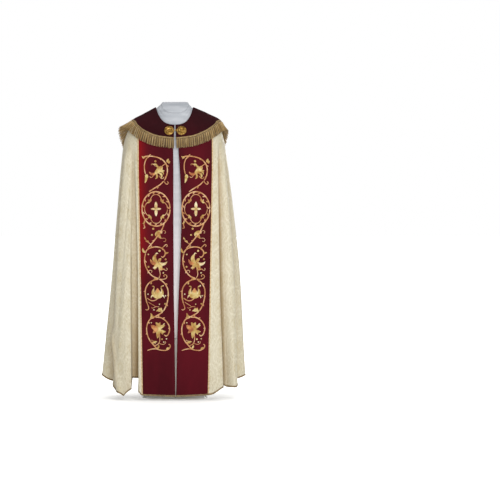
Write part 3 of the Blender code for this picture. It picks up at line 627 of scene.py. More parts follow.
def brocade_material():
    """Cream silk brocade, woven on a satin ground with floats of white and pale gold thread, which shine more
    than the ground. contour is the distance from the nearest medallion's middle, made wavy by two cosines of the
    angle, and its sine gives the thin lines of the figure."""
    made, add, shader = new_material("cream_brocade", CREAM, 0.55, Sheen_Weight=0.08, Sheen_Roughness=0.4)
    uv = add("UVMap", uv_map="cut")
    wobble = add("TexNoise", {"Vector": uv, "Scale": 14.0, "Detail": 2.0}, "Color")
    shift = add("VectorMath.SUBTRACT", (wobble, (0.5, 0.5, 0.5)))
    small = add("VectorMath.SCALE", {0: shift, "Scale": 0.018})
    place = add("VectorMath.ADD", (uv, small))
    split = add("SeparateXYZ", (place,)).node
    x = add("Math.DIVIDE", (split.outputs[0], MEDALLION_WIDTH))
    y = add("Math.DIVIDE", (split.outputs[1], MEDALLION_HEIGHT))

    def from_middle(value, offset):
        return add("Math.SUBTRACT", (add("Math.FRACT", (add("Math.ADD", (value, offset)),)), 0.5))

    def squared(a, b):
        return add("Math.ADD", (add("Math.MULTIPLY", (a, a)), add("Math.MULTIPLY", (b, b))))

    def lobes(count):
        return add("Math.COSINE", (add("Math.MULTIPLY", (angle, count)),))

    def rings(count, low, high):
        wave = add("Math.SINE", (add("Math.MULTIPLY", (contour, count)),))
        return add("MapRange", (wave, low, high, 0.0, 1.0))

    ax, ay = from_middle(x, 0.0), from_middle(y, 0.0)
    bx, by = from_middle(x, 0.5), from_middle(y, 0.5)
    nearer = add("Math.LESS_THAN", (squared(bx, by), squared(ax, ay)))
    px = add("Mix", {0: nearer, 2: ax, 3: bx})
    py = add("Mix", {0: nearer, 2: ay, 3: by})
    angle = add("Math.ARCTAN2", (py, px))
    scallop = add("Math.MULTIPLY_ADD", (lobes(8.0), 0.055, add("Math.MULTIPLY_ADD", (lobes(16.0), 0.02, 1.0))))
    contour = add("Math.MULTIPLY", (add("Math.SQRT", (squared(px, py),)), scallop))
    line, golden = rings(CONTOURS, 0.0, 0.7), rings(GOLD_CONTOURS, -0.3, 0.4)
    figure = add("Math.MAXIMUM", (line, add("MapRange", (contour, 0.06, 0.085, 1.0, 0.0))))

    slanted = add("Mapping", {"Vector": uv, "Rotation": (0, 0, 0.7), "Scale": (1, 0.3, 1)})
    thrown = add("TexNoise", {"Vector": slanted, "Scale": 1 / FLECK_LENGTH, "Detail": 4.0, "Roughness": 0.7})
    fleck = add("MapRange", (thrown, 0.47, 0.66, 0.0, 1.0))
    patches = add("TexNoise", {"Vector": uv, "Scale": 11.0, "Detail": 5.0, "Roughness": 0.65})
    cloud = add("MapRange", (patches, 0.35, 0.7, 0.0, 1.0))

    # Painted shade: the brocade turns tan where the panel's painted fold shade attribute is high.
    valley = add("Attribute", output="Fac", attribute_name="valley")
    thread = add("Mix", {0: golden, 6: linear(FLOAT_WHITE), 7: linear(PALE_GOLD)}, 2, data_type="RGBA")
    tone = linear(CREAM)
    for share, over in (
        (add("Math.MULTIPLY", (figure, 0.28)), thread),
        (add("Math.MULTIPLY", (fleck, add("Math.MULTIPLY_ADD", (cloud, 0.55, 0.25)))), linear(FLECK_GOLD)),
        (add("Math.MULTIPLY", (valley, 0.85)), linear(VALLEY_SHADE_TAN)),
    ):
        tone = add("Mix", {0: share, 6: tone, 7: over}, 2, data_type="RGBA")
    waved = {"Vector": uv, "Scale": 0.5 / TWILL, "Distortion": 1.2, "Detail": 1.0}
    twill = add("TexWave", waved, 1, wave_type="BANDS", bands_direction="DIAGONAL")
    height = add("Math.MULTIPLY_ADD", (figure, 1.0, add("Math.MULTIPLY_ADD", (twill, 0.4, fleck))))
    coat(shader, tone, height, 0.45, 0.0008, add("MapRange", (figure, 0.0, 1.0, 0.62, 0.42)))
    return made


print("twill bands repeat every", TWILL * 1000, "mm")


# %% Lining material
def lining_material():
    """Cream acetate lining: plain, slightly shiny, with faint slubs 1.7 mm wide and 110 mm long."""
    made, add, shader = new_material("acetate_lining", "#D8D2C2", 0.5)
    uv = add("UVMap", uv_map="cut")
    long = add("Mapping", {"Vector": uv, "Scale": (600.0, 9.0, 1.0)})
    slub = add("TexNoise", {"Vector": long, "Scale": 1.0, "Detail": 2.0})
    tint = add("Mix", {0: slub, 6: linear("#CFC8B6"), 7: linear("#E0DBCD")}, 2, data_type="RGBA")
    coat(shader, tint, slub, 0.2, 0.0003)
    return made


BROCADE = brocade_material()
LINING = lining_material()
print("brocade medallions repeat every", MEDALLION_WIDTH * 1000, "mm")

# %% Mantle panels
BROCADE_THICK = 1.6
SEAM_GAP = 0.3


HALF_GAP = SEAM_GAP / 2
LAST_COLUMN = mantle_points.shape[1] - 1
SEAM_LEFT, SEAM_RIGHT = MARKS["seam_valley_left"], MARKS["seam_valley_right"]
PANEL_SPANS = (
    ("left", 0, SEAM_LEFT, (0, HALF_GAP)),
    ("back", SEAM_LEFT, SEAM_RIGHT, (HALF_GAP, HALF_GAP)),
    ("right", SEAM_RIGHT, LAST_COLUMN, (HALF_GAP, 0)),
)


def build_mantle():
    """Three brocade panels that meet in the side folds, each lined."""
    outer = mantle_points + mantle_normals * BROCADE_THICK
    made = {}
    for name, first, end, gaps in PANEL_SPANS:
        inside = narrowed(mantle_points, first, end, *gaps)
        outside = narrowed(outer, first, end, *gaps)
        uv = flat_cut(inside)
        piece = shell(f"brocade_{name}", inside, outside, uv, [BROCADE, LINING])
        # Each panel carries the painted fold shade as a point attribute, which its brocade reads.
        depth = np.tile(mantle_fold_shade[:, first : end + 1].ravel(), 2).astype(np.float32)
        piece.data.attributes.new("valley", "FLOAT", "POINT").data.foreach_set("value", depth)
        dress(piece, "brocade", f"mantle_{name}")
        made[name] = (piece, flat_size(uv, inside))
        print(name, "panel cut", [round(s, 2) for s in made[name][1][0]], "m, area", round(made[name][1][1], 2))
    return made


PANELS = build_mantle()

# %% [markdown]
# ## Velvet
# Velvet is a pile: short threads stand on end, so it looks dark face on and glows at its edges and wherever the pile
# is brushed over. The sheen lobe of the shader gives that rim. A noise stretched down the cloth makes the brushed
# patches, a fine one the nap, and both move the colour between a dark and a bright burgundy.


# %% Velvet material
NAP = 700.0


def velvet_material(name, dark, bright, streak, lit=0.0, behind=None):
    """Burgundy cotton velvet with a short pile, brushed in soft patches. streak is the patches' size in metres.
    Tufts of 0.3 mm are too fine to show, so NAP grains a metre, 1.4 mm wide, stand for them.
    lit is the strength of a painted highlight: a bright red sheen painted along one edge, growing from 0.5 m to
    0.8 m up, where the distance from that edge is x + 0.163 + 0.018 * z.
    behind is a redder, brighter colour painted on the pile where it hangs behind the shoulders: painted light on the
    back of the hood."""
    made, add, shader = new_material(
        name, dark, 0.9, Sheen_Weight=0.05, Sheen_Roughness=0.3, Sheen_Tint=linear("#A8384A"),
        Specular_IOR_Level=0.1,
    )
    place = add("TexCoord", output="Object")
    long = add("Mapping", {"Vector": place, "Scale": (1.0, 1.0, 0.35)})
    patch = add("TexNoise", {"Vector": long, "Scale": 1 / streak, "Detail": 3.0})
    nap = add("TexNoise", {"Vector": place, "Scale": NAP, "Detail": 2.0})
    brushed = add("MapRange", (patch, 0.38, 0.68, 0.0, 1.0))
    mixed = add("Math.MULTIPLY_ADD", (nap, 0.5, add("Math.MULTIPLY", (brushed, 0.8))))
    tint = add("Mix", {0: mixed, 6: linear(dark), 7: linear(bright)}, 2, data_type="RGBA")
    split = add("SeparateXYZ", (place,)).node
    # Painted light: the pile behind the shoulders is painted redder and brighter.
    if behind:
        back = add("MapRange", (split.outputs[1], 0.02, 0.14, 0.0, 0.8))
        share = add("Math.MULTIPLY", (back, add("Math.MULTIPLY_ADD", (brushed, 0.6, 0.4))))
        tint = add("Mix", {0: share, 6: tint, 7: linear(behind)}, 2, data_type="RGBA")
    # Painted highlight: a bright red sheen painted along one edge of the band.
    if lit:
        away = add("Math.ADD", (add("Math.MULTIPLY_ADD", (split.outputs[2], 0.018, split.outputs[0])), 0.163))
        near = add("MapRange", (away, -0.004, 0.066, 1.0, 0.0))
        high = add("MapRange", (split.outputs[2], 0.5, 0.8, 0.0, lit))
        painted_sheen = add("Math.MULTIPLY", (add("Math.MULTIPLY", (near, near)), high))
        tint = add("Mix", {0: painted_sheen, 6: tint, 7: linear("#A8140E")}, 2, data_type="RGBA")
    coat(shader, tint, nap, 0.6, 0.0008)
    return made


# The left band's velvet carries a painted highlight along its outer edge; the right band's does not.
BAND_VELVET = {
    "left": velvet_material("burgundy_velvet_left", "#3C0A12", "#560F1A", 0.16, 0.62),
    "right": velvet_material("burgundy_velvet_right", "#3C0A12", "#560F1A", 0.16),
}
HOOD_VELVET = velvet_material("burgundy_velvet_hood", "#21070B", "#330A11", 0.14, behind="#64141C")
print("velvet is ready")


# %% Braid material
def braid_material(name, base, light, pitch):
    """Woven metal-thread braid: cotton warp wrapped in gilt thread. pitch is one repeat of the weave, in metres,
    twice the real 1.2 mm, which is too fine to show."""
    made, add, shader = new_material(name, base, 0.55, 0.1)
    uv = add("UVMap", uv_map="cut")
    split = add("SeparateXYZ", (uv,)).node
    one, two = (add("Math.SINE", (add("Math.MULTIPLY", (split.outputs[k], 2 * np.pi / pitch)),)) for k in (0, 1))
    weave = add("Math.MULTIPLY_ADD", (add("Math.MULTIPLY", (one, two)), 0.5, 0.5))
    grain = add("TexNoise", {"Vector": uv, "Scale": 0.2 / pitch, "Detail": 4.0})
    mixed = add("Math.MULTIPLY_ADD", (weave, -0.35, grain))
    spread = add("MapRange", (mixed, 0.15, 0.55, 0.0, 1.0))
    tint = add("Mix", {0: spread, 6: linear(light), 7: linear(base)}, 2, data_type="RGBA")
    coat(shader, tint, weave, 0.6, 0.0006)
    return made


EDGE_BRAID = braid_material("peach_gold_edging", "#B48C58", "#E6CBA0", 0.0024)
# The hem binding is coloured dark brown as a painted shadow: it stands for the thin shadow line along the hem.
HEM_SHADOW_BRAID = braid_material("tan_hem_binding", "#5E4A2E", "#9A8258", 0.0024)
HEAD_BRAID = braid_material("fringe_heading_braid", "#6B5530", "#A08556", 0.003)
print("braids are ready")

# %% [markdown]
# ## Bands, edging and hem
# The orphreys are flat velvet bands sewn down the front edges. Each is made from the mantle's own columns, moved out
# by the brocade's thickness and a hair more. A narrow braid covers the band's outer edge, and another binds the hem;
# its dark brown is a painted shadow, the thin shadow line along the hem.

# %% Bands and braids
VELVET_THICK, EDGING_THICK, HEM_BRAID_THICK = 1.2, 1.5, 1.2
HEM_BRAID_WIDTH = 8.0
VELVET_ROUNDING, EDGING_ROUNDING, BINDING_ROUNDING, HOOD_ROUNDING = 0.4, 0.7, 0.6, 0.5
BRAID_STEPS = np.array([1.0, 0.85, 0.5, 0.15, 0.0])[:, None]
BAND_TOP = int(np.searchsorted(LEVELS, 0.24))


def laid_on(first, end, gaps, rows, thick):
    """Inner and outer grids of a piece that lies on columns first to end of the mantle."""
    low = BROCADE_THICK + SEAM_GAP
    pair = []
    for height in (low, low + thick):
        grid = mantle_points[rows] + mantle_normals[rows] * height
        pair.append(narrowed(grid, first, end, *gaps))
    return pair


def rounded(inner, outer, share):
    """The outer grid with its first and last columns sunk towards the inner one by a share of the thickness."""
    shaped = outer.copy()
    for column in (0, -1):
        shaped[:, column] += (inner[:, column] - outer[:, column]) * share
    return shaped


def build_bands():
    """Velvet bands with the edging braid beside each."""
    rows = slice(BAND_TOP, len(LEVELS))
    made = {}
    for side, front in (("left", 0), ("right", LAST_COLUMN)):
        band, edging = MARKS[f"orphrey_side_{side}"], MARKS[f"edging_side_{side}"]
        first, end = sorted((front, band))
        gaps = [0 if column == front else HALF_GAP for column in (first, end)]
        inner, outer = laid_on(first, end, gaps, rows, VELVET_THICK)
        inner, outer = (drawn_up(grid, HEM_BRAID_WIDTH + SEAM_GAP) for grid in (inner, outer))
        uv = flat_cut(inner)
        piece = shell(f"velvet_band_{side}", inner, rounded(inner, outer, VELVET_ROUNDING), uv, [BAND_VELVET[side]])
        dress(piece, "velvet", f"orphrey_{side}")
        first, end = sorted((band, edging))
        low, high = laid_on(first, end, (HALF_GAP, HALF_GAP), rows, EDGING_THICK)
        low, high = (drawn_up(grid, HEM_BRAID_WIDTH + SEAM_GAP) for grid in (low, high))
        braid = shell(f"edging_{side}", low, rounded(low, high, EDGING_ROUNDING), flat_cut(low), [EDGE_BRAID])
        dress(braid, "gold_braid", f"orphrey_edging_{side}")
        made[side] = (piece, outer, strip_size(inner), braid)
        print(side, "band", [round(s, 3) for s in made[side][2][0]], "m")
    return made


BANDS = build_bands()


# %% Hem binding
def build_hem():
    """Braid along the hem, in three lengths that meet at the seams, coloured dark brown as a painted shadow line."""
    made = {}
    for side, first, end, gaps in PANEL_SPANS:
        inner, outer = laid_on(first, end, gaps, slice(-6, None), HEM_BRAID_THICK)
        strips = []
        for grid in (inner, outer):
            steps = np.array([1.0, 0.8, 0.5, 0.2, 0.0]) * HEM_BRAID_WIDTH
            strips.append(grid[-1] + unit(grid[-2] - grid[-1]) * steps[:, None, None])
        inner, outer = strips
        for row in (0, -1):
            outer[row] += (inner[row] - outer[row]) * BINDING_ROUNDING
        braid = shell(f"hem_binding_{side}", inner, outer, flat_cut(inner), [HEM_SHADOW_BRAID])
        dress(braid, "gold_braid", f"hem_braid_{side}")
        made[side] = braid
    return made


HEM = build_hem()
print(len(HEM), "lengths of hem binding")

# %% [markdown]
# ## The hood
# The hood lies on the shoulders and hangs to a point at the back. Its outline is a table of heights round the body.
# Each column of the bell is measured by its length from the neckline, so the hood, the braid that heads the fringe
# and the fringe itself can all be cut by length, as cloth is. The hood stands a few millimetres off the mantle and
# flares towards its edge. A few long soft creases keep it from looking moulded.

# %% Hood outline
HOOD_EDGE_TURNS = (0, 20, 36, 54, 68, 84, 100, 114, 127, 139, 156, 171, 180)
HOOD_EDGE_HEIGHTS = (1304, 1314, 1335, 1365, 1385, 1390, 1366, 1316, 1240, 1188, 1121, 1056, 1000)
HOOD_FRONT_TURN = 1.1
HOOD_LIFT, HOOD_CLOTH = 2.1, 2.2
HOOD_FLARE_FRONT, HOOD_FLARE_BACK, HOOD_FLARE_POWER = 3.0, 8.0, 0.55
HOOD_FLARE_TURN, HOOD_FLARE_END = 1.1, 0.97
HEADING_WIDTH, HEADING_THICK = 8.0, 1.5
FRINGE_GAP, FRINGE_LENGTH = 0.7, 48.0
COLUMN_LEVELS = np.linspace(0, 0.75, 751)


def hood_edge_height(turn):
    """Height of the hood's edge at a turn, from the outline table, the same on both sides."""
    around = np.degrees(np.pi - np.abs(np.pi - turn))
    return curve(around, HOOD_EDGE_TURNS, HOOD_EDGE_HEIGHTS)


def hood_columns(turns):
    """For each turn: the length from the neckline at each of COLUMN_LEVELS, and the length at the hood's edge."""
    points = bell(np.asarray(turns)[:, None], COLUMN_LEVELS[None, :])
    lengths = run_along(points, 1)
    heights = hood_edge_height(np.asarray(turns))
    edge = np.array([np.interp(-h, -p[:, 2], s) for h, p, s in zip(heights, points, lengths)])
    return lengths, edge


def hood_flare(turns):
    """How far the hood's edge stands off the mantle, in mm, from front to back."""
    around = np.pi - np.abs(np.pi - np.asarray(turns))
    return HOOD_FLARE_FRONT + (HOOD_FLARE_BACK - HOOD_FLARE_FRONT) * eased(around / HOOD_FLARE_TURN)


print("the hood hangs to", HOOD_EDGE_HEIGHTS[-1], "mm above the floor")

# %% Hood creases
Ridge = namedtuple("Ridge", "top_turn end_turn width height from_length to_length")
HOOD_CREASES = [
    Ridge(171, 173.5, 2.4, 4.5, 230, 470),
    Ridge(188, 184, 3, 3.2, 260, 470),
    Ridge(150, 158, 3.4, 2.6, 120, 380),
    Ridge(206, 200, 3.4, 2.6, 90, 360),
    Ridge(218, 214, 3, 2.4, 60, 300),
    Ridge(131, 138, 3, 2.2, 80, 300),
    Ridge(62, 48, 5, 1.4, 10, 120),
    Ridge(300, 312, 5, 1.4, 10, 120),
    Ridge(84, 80, 4, 1.6, 30, 150),
    Ridge(276, 281, 4, 1.6, 30, 150),
    Ridge(24, 22, 3.6, 1, 10, 90),
    Ridge(336, 338, 3.6, 1, 10, 90),
]


def hood_crease(turn, length):
    """Sum of soft ridges, each a bell curve across its line, faded at both ends."""
    total = np.zeros_like(length)
    degrees = np.degrees(turn)
    for row in HOOD_CREASES:
        share = (length - row.from_length) / (row.to_length - row.from_length)
        middle = row.top_turn + (row.end_turn - row.top_turn) * np.clip(share, 0, 1)
        shown = eased(share * 3) * eased((1.15 - share) * 4)
        total += row.height * shown * hump(degrees, middle, row.width)
    return total


print(len(HOOD_CREASES), "hood creases")

# %% Hood grids
HOOD_COLUMN_COUNT = 420
HOOD_ROW_COUNT = 110


front = np.radians(HOOD_FRONT_TURN)
HOOD_TURNS = np.linspace(front, 2 * np.pi - front, HOOD_COLUMN_COUNT)
HOOD_TURNS[np.argmin(np.abs(HOOD_TURNS - np.pi))] = np.pi
HOOD_LENGTHS, HOOD_EDGE_LENGTHS = hood_columns(HOOD_TURNS)
print("hood is", round(HOOD_EDGE_LENGTHS.max()), "mm long at its point")


def column_levels(wanted, lengths):
    """The levels at which columns of the bell reach the wanted lengths (rows by columns)."""
    return np.stack([np.interp(w, s, COLUMN_LEVELS) for w, s in zip(wanted.T, lengths)], axis=1)


def hood_grid(wanted, extra):
    """Points on the hood at lengths from the neckline, extra mm above its inner face. That face lies over the bell
    by the lift, the creases, and the flare, which grows with the share of the way to the edge."""
    level, turn = column_levels(wanted, HOOD_LENGTHS), np.repeat(HOOD_TURNS[None], len(wanted), axis=0)
    share = np.clip(wanted / (HOOD_FLARE_END * HOOD_EDGE_LENGTHS), 0, 1) ** HOOD_FLARE_POWER
    height = HOOD_LIFT + hood_flare(HOOD_TURNS) * share + hood_crease(turn, wanted) + extra
    return bell(turn, level) + bell_normal(turn, level) * height[..., None]


def build_hood():
    """The velvet hood with rolled edges, and the heading braid on its edge."""
    shares = np.linspace(0, 1, HOOD_ROW_COUNT)
    wanted = shares[:, None] * HOOD_EDGE_LENGTHS[None, :]
    inner, outer = hood_grid(wanted, 0.0), hood_grid(wanted, HOOD_CLOTH)
    outer = rounded(inner, outer, HOOD_ROUNDING)
    outer[0] += (inner[0] - outer[0]) * HOOD_ROUNDING
    uv = flat_cut(inner)
    piece = shell("velvet_hood", inner, outer, uv, [HOOD_VELVET])
    dress(piece, "velvet", "hood")
    wanted = HOOD_EDGE_LENGTHS - HEADING_WIDTH * BRAID_STEPS
    low, top = (hood_grid(wanted, HOOD_CLOTH + SEAM_GAP + thick) for thick in (0.0, HEADING_THICK))
    for row in (0, -1):
        top[row] += (low[row] - top[row]) * BINDING_ROUNDING
    braid = shell("heading_braid", low, top, flat_cut(low), [HEAD_BRAID])
    dress(braid, "gold_braid", "fringe_heading")
    cut = flat_size(uv, inner)
    print("hood cut", [round(side, 2) for side in cut[0]], "m, area", round(cut[1], 3))
    return piece, braid, outer, cut


HOOD, HEADING, hood_outer, HOOD_CUT = build_hood()

# %% [markdown]
# ## Fringe
# A cut fringe is hundreds of short twisted cords that hang side by side. Hair particles would not survive an
# export, so each strand is a thin three-sided tube that runs down the hood's own columns. All the strands of a
# layer are worked out at once, as arrays of rings by strands. Loose cords lean together in small bunches, which
# leaves gaps between them, darkened with painted shade, and off the ends of the shoulders they stand out like the
# eaves of a roof.

# %% Fringe strands
Eave = namedtuple("Eave", "turn width reach")
EAVES = [Eave(92, 24, 36), Eave(268, 22, 21)]
EAVE_POWER = 1.4
STRAND_SPACING = 2.6
STRAND_RADIUS = 1.25
STRAND_RINGS = 8
BUNCH, LEAN, STRAY = 11.0, 0.26, 2.5
WANDER, WANDER_LENGTH = 1.5, 37.0
UNEVEN = 7.0
TWIST_WAVE = 2400.0
LAYERS = (1.4, 3.6, 5.4)


def scatter(count, seed):
    """A repeatable number from 0 to 1 for each strand: the fraction of a large sine."""
    return np.modf(np.abs(np.sin(np.arange(count) * 12.9898 + seed * 78.233) * 43758.5453))[0]


def fringe_eave(turns):
    """How far the fringe's lower edge stands out at each turn, in mm, off the ends of the shoulders."""
    degrees = np.degrees(turns)
    return sum(row.reach * hump(degrees, row.turn, row.width) for row in EAVES)


print("the fringe has", len(LAYERS), "layers")


# %% Fringe
def fringe_material():
    """Old gold rayon cords: each strand a little lighter or darker than the next, and darker to its tip. Strands in
    the gaps between bunches and on the inner layers carry painted shade, and those behind the shoulders painted
    light.
    The twist is TWIST_WAVE radians a metre, one turn every 2.6 mm, about twice the real one, which is too fine to
    show."""
    made, add, shader = new_material("old_gold_fringe", "#9A7B45", 0.55, Sheen_Weight=0.15)
    uv = add("UVMap", uv_map="cut")
    split = add("SeparateXYZ", (uv,)).node
    shade = add("ValToRGB", (split.outputs[0],)).node
    ramp = shade.color_ramp
    ramp.elements[0].color, ramp.elements[1].color = linear("#55401F"), linear("#E4CA98")
    for place, colour in ((0.35, "#886A38"), (0.7, "#B5945A")):
        ramp.elements.new(place).color = linear(colour)
    twist = add("Math.SINE", (add("Math.MULTIPLY", (split.outputs[1], TWIST_WAVE)),))
    coat(shader, shade.outputs[0], twist, 0.5, 0.0004)
    return made


def strand_layer(number, height, arc):
    """One layer of strands: points, faces and UVs. A strand's middle runs down a column of the bell from the hood's
    edge; its three corners are the middle plus the radius in three directions square to it. Behind the shoulders
    the gold is painted lighter, as painted light; in the gaps between bunches and on the inner layers it is painted
    darker, as painted shade."""
    count = int(arc[-1] / STRAND_SPACING)
    along = (np.arange(count) + 0.5 + 0.6 * (scatter(count, number + 1) - 0.5) + number / 3) / (count + 1)
    start = along * arc[-1]
    phase = 2 * np.pi * start / BUNCH + WANDER * np.sin(start / WANDER_LENGTH) + number * 1.3
    reach = FRINGE_LENGTH - 1.5 - UNEVEN * scatter(count, number + 5) ** 2
    t = np.linspace(0, 1, STRAND_RINGS)[:, None]
    drift = -LEAN * BUNCH * np.sin(phase) * t**0.8 + STRAY * (scatter(count, number + 9) - 0.5) * t
    turn = np.interp(np.clip(start + drift, 0, arc[-1]), arc, HOOD_TURNS)
    lengths, edge = hood_columns(turn[0])
    wanted = edge + FRINGE_GAP + 0.5 + t * reach
    level = column_levels(wanted, lengths)
    points, normals = bell(turn, level), bell_normal(turn, level)
    wave = 0.8 * np.sin(t * 6 + 6.3 * scatter(count, number + 13)) * t
    eave = fringe_eave(turn) * (wanted - edge) ** EAVE_POWER / FRINGE_LENGTH**EAVE_POWER
    out = HOOD_LIFT + hood_flare(turn) + eave
    points = points + normals * (out + height + wave)[..., None]
    down = unit(np.gradient(points, axis=0))
    across = np.cross(normals, down)
    up = np.cross(down, across)
    corners = np.pi * np.array([0.5, 0.5 + 2 / 3, 0.5 + 4 / 3])
    round_it = across[:, :, None] * np.cos(corners)[:, None] + up[:, :, None] * np.sin(corners)[:, None]
    radius = STRAND_RADIUS * (1 - 0.2 * t) * np.ones(count)
    grid = points[:, :, None] + round_it * radius[..., None, None]
    index = np.arange(grid[..., 0].size).reshape(grid.shape[:3])
    ends = np.concatenate([index[0][:, ::-1], index[-1]])
    # Painted shade: strands in the gaps between bunches, and the inner layers, are painted darker; the random part is
    # each strand's own tone. Painted light: strands behind the shoulders are painted lighter.
    gap_shade_and_tone = 0.5 + 0.3 * np.cos(phase) + 0.42 * (scatter(count, number + 17) - 0.5)
    painted_light_behind = 0.3 * np.clip((points[..., 1] + 50) / 130, 0, 1)
    shade = np.clip(gap_shade_and_tone - 0.14 * (len(LAYERS) - 1 - number) + 0.06 - 0.06 * t + painted_light_behind, 0.02, 0.98)
    uv = np.stack([np.broadcast_to(shade[..., None], grid.shape[:3]), index * 0.0], axis=-1)
    uv[..., 1] = (t * reach)[..., None] * MM
    return grid.reshape(-1, 3), walls(index), ends, uv.reshape(-1, 2)


def build_fringe():
    """Three layers of strands, joined into one mesh."""
    arc = run_along(hood_outer[-1])
    layers = [strand_layer(number, height, arc) for number, height in enumerate(LAYERS)]
    offsets = np.cumsum([0] + [len(layer[0]) for layer in layers[:-1]])
    faces = [layer[1] + offset for layer, offset in zip(layers, offsets)]
    faces += [layer[2] + offset for layer, offset in zip(layers, offsets)]
    points, uv = (np.concatenate([layer[k] for layer in layers]) for k in (0, 3))
    piece = make_mesh("fringe_strands", points, faces, uv, [fringe_material()])
    print("fringe strands:", sum(len(layer[2]) // 2 for layer in layers), "over", round(arc[-1] * MM, 2), "m")
    return dress(piece, "gold_fringe", "fringe")


FRINGE = build_fringe()

# %% [markdown]
# ## Embroidery
# Each velvet band carries a rising vine in gold thread: scrolled stems that end in curls, leaves, buds and open
# flowers, with an oval medallion second from the top. Satin stitch is a pad of threads laid side by side, so it
# is raised and its edges are crisp. An image would do for the colour but would lie flat. Here each stroke is a
# small domed ribbon along a smooth path, laid on the velvet's own surface. The vine is a table of strokes in mm
# from each motif's middle, and both bands are worked from the same table, as they are on the real thing.

# %% Strokes of satin stitch
Stem = namedtuple("Stem", "width points")
Leaf = namedtuple("Leaf", "x z heading length width bend tone")
Bud = namedtuple("Bud", "x z radius")
Ribbon = namedtuple("Ribbon", "places lift uv tone")
STEM, FILL, PALE, WARM = 0, 1, 2, 3
RIBBON_STEPS = 8
STITCH_STEP = 5.0
STITCH_SINK = 0.15
PALE_BUD = 4.2
LEAF_RISE, LEAF_GROOVE, GROOVE_WIDTH = 1.5, 0.4, 0.22
THORN_STEP, THORN_TURN = 13.0, 42
NARROWEST = 0.02
THREAD_WAVE = 5200.0


def smooth_path(points, step=STITCH_STEP, closed=False):
    """A smooth path through a few points, evenly spaced: on each stretch a cubic whose slope at a point is half
    the step between the points on both sides of it."""
    points = np.asarray(points, float)
    if closed:
        around = np.concatenate([points[-1:], points, points[:2]])
    else:
        around = np.concatenate([2 * points[:1] - points[1:2], points, 2 * points[-1:] - points[-2:-1]])
    a, b, c, d = around[:-3, None], around[1:-2, None], around[2:-1, None], around[3:, None]
    t = np.linspace(0, 1, 20, endpoint=False)[None, :, None]
    fine = 0.5 * (2 * b + (c - a) * t + (2 * a - 5 * b + 4 * c - d) * t**2 + (3 * b - a - 3 * c + d) * t**3)
    fine = np.concatenate([fine.reshape(-1, 2), around[-2:-1]])
    length = run_along(fine)
    wanted = np.linspace(0, length[-1], max(int(length[-1] / step), 6) + 1)
    return np.stack([np.interp(wanted, length, fine[:, k]) for k in (0, 1)], axis=1), wanted


def ribbon(path, length, half_width, height, tone, groove=0.0):
    """A domed ribbon: across it, place = half width * cos(a) and lift = height * sin(a), for a from 0 to 180
    degrees, with a shallow groove down the middle of a leaf."""
    forward = unit(np.gradient(path, axis=0))
    side = np.stack([forward[:, 1], -forward[:, 0]], axis=1)
    a = np.linspace(0, np.pi, RIBBON_STEPS)
    places = path[:, None] + side[:, None] * (half_width[:, None] * np.cos(a))[..., None]
    lift = height[:, None] * np.sin(a) * (1 - groove * hump(np.cos(a), 0, GROOVE_WIDTH))
    share = length / length[-1]
    crossing = share[:, None] * 0.9 + 2.0 * np.round((1 - np.cos(a)) / 2, 3)
    uv = np.stack([length[:, None] * MM + 0 * lift, crossing], axis=-1)
    return Ribbon(places, lift, uv, tone)


print("a stroke has", RIBBON_STEPS, "points across")


# %% Stems, leaves and buds
def stem_ribbon(row):
    """A stem of even width that narrows to its two ends over its own width."""
    path, length = smooth_path(row.points)
    ends = np.minimum(length, length[-1] - length) / row.width
    taper = np.sqrt(np.clip(ends, NARROWEST, 1))
    return ribbon(path, length, row.width / 2 * taper, (0.35 + row.width * 0.2) * taper, STEM)


def leaf_ribbon(row):
    """A leaf or petal: its midline is a curve that leaves the straight line by bend * length in the middle, and
    its half width is width / 2 * sin(pi * t^0.8)^0.8."""
    turn = np.radians(row.heading)
    ahead, aside = np.array([np.cos(turn), np.sin(turn)]), np.array([-np.sin(turn), np.cos(turn)])
    t = np.linspace(0, 1, 11)[:, None]
    path = np.array([row.x, row.z]) + row.length * (ahead * t + aside * row.bend * 4 * t * (1 - t))
    length = run_along(path)
    swell = np.sin(np.pi * t[:, 0] ** 0.8) ** 0.8
    half_width, height = row.width / 2 * np.maximum(swell, NARROWEST), LEAF_RISE * swell + 0.05
    return ribbon(path, length, half_width, height, row.tone, LEAF_GROOVE)


def bud_ribbon(row):
    """A round bud, as a very short leaf. Large buds are filled with yellow gold, small ones are pale."""
    t = np.linspace(0, 1, 9)
    path = np.array([[row.x, row.z - row.radius]]) + np.array([[0.0, 2 * row.radius]]) * t[:, None]
    swell = np.sin(np.pi * t) ** 0.5
    tone = FILL if row.radius > PALE_BUD else PALE
    return ribbon(path, t * 2 * row.radius, row.radius * np.maximum(swell, NARROWEST), 1.3 * swell + 0.05, tone)


def acanthus(x, z, heading, length, width, bend=0.1):
    """A lobed petal: one long leaf with a smaller leaf on both sides of it, a warm root and a pale tip."""
    turn = np.radians(heading)
    ahead = np.array([np.cos(turn), np.sin(turn)]) * length
    near = np.array([x, z]) + ahead * 0.3
    sides = [Leaf(*near, heading + way, length * 0.46, width * 0.62, way / 260, FILL) for way in (-38, 38)]
    return [
        *sides,
        Leaf(x, z, heading, length, width, bend, FILL),
        Leaf(x, z, heading, length * 0.42, width * 0.42, bend * 0.3, WARM),
        Leaf(*(near + ahead * 0.28), heading + bend * 90, length * 0.36, width * 0.3, bend, PALE),
    ]


def thorns(row):
    """Small leaves that leave a stem by turns to the left and the right, one for every 52 mm."""
    path, _ = smooth_path(row.points, THORN_STEP)
    forward = np.gradient(path, axis=0)
    heading = np.degrees(np.arctan2(forward[:, 1], forward[:, 0]))
    picked = range(3, len(path) - 2, 4)
    aside = {k: THORN_TURN if k % 8 == 3 else -THORN_TURN for k in picked}
    return [Leaf(*path[k], heading[k] + aside[k], 10 + k % 5, 5.5, 0.15, STEM) for k in picked]


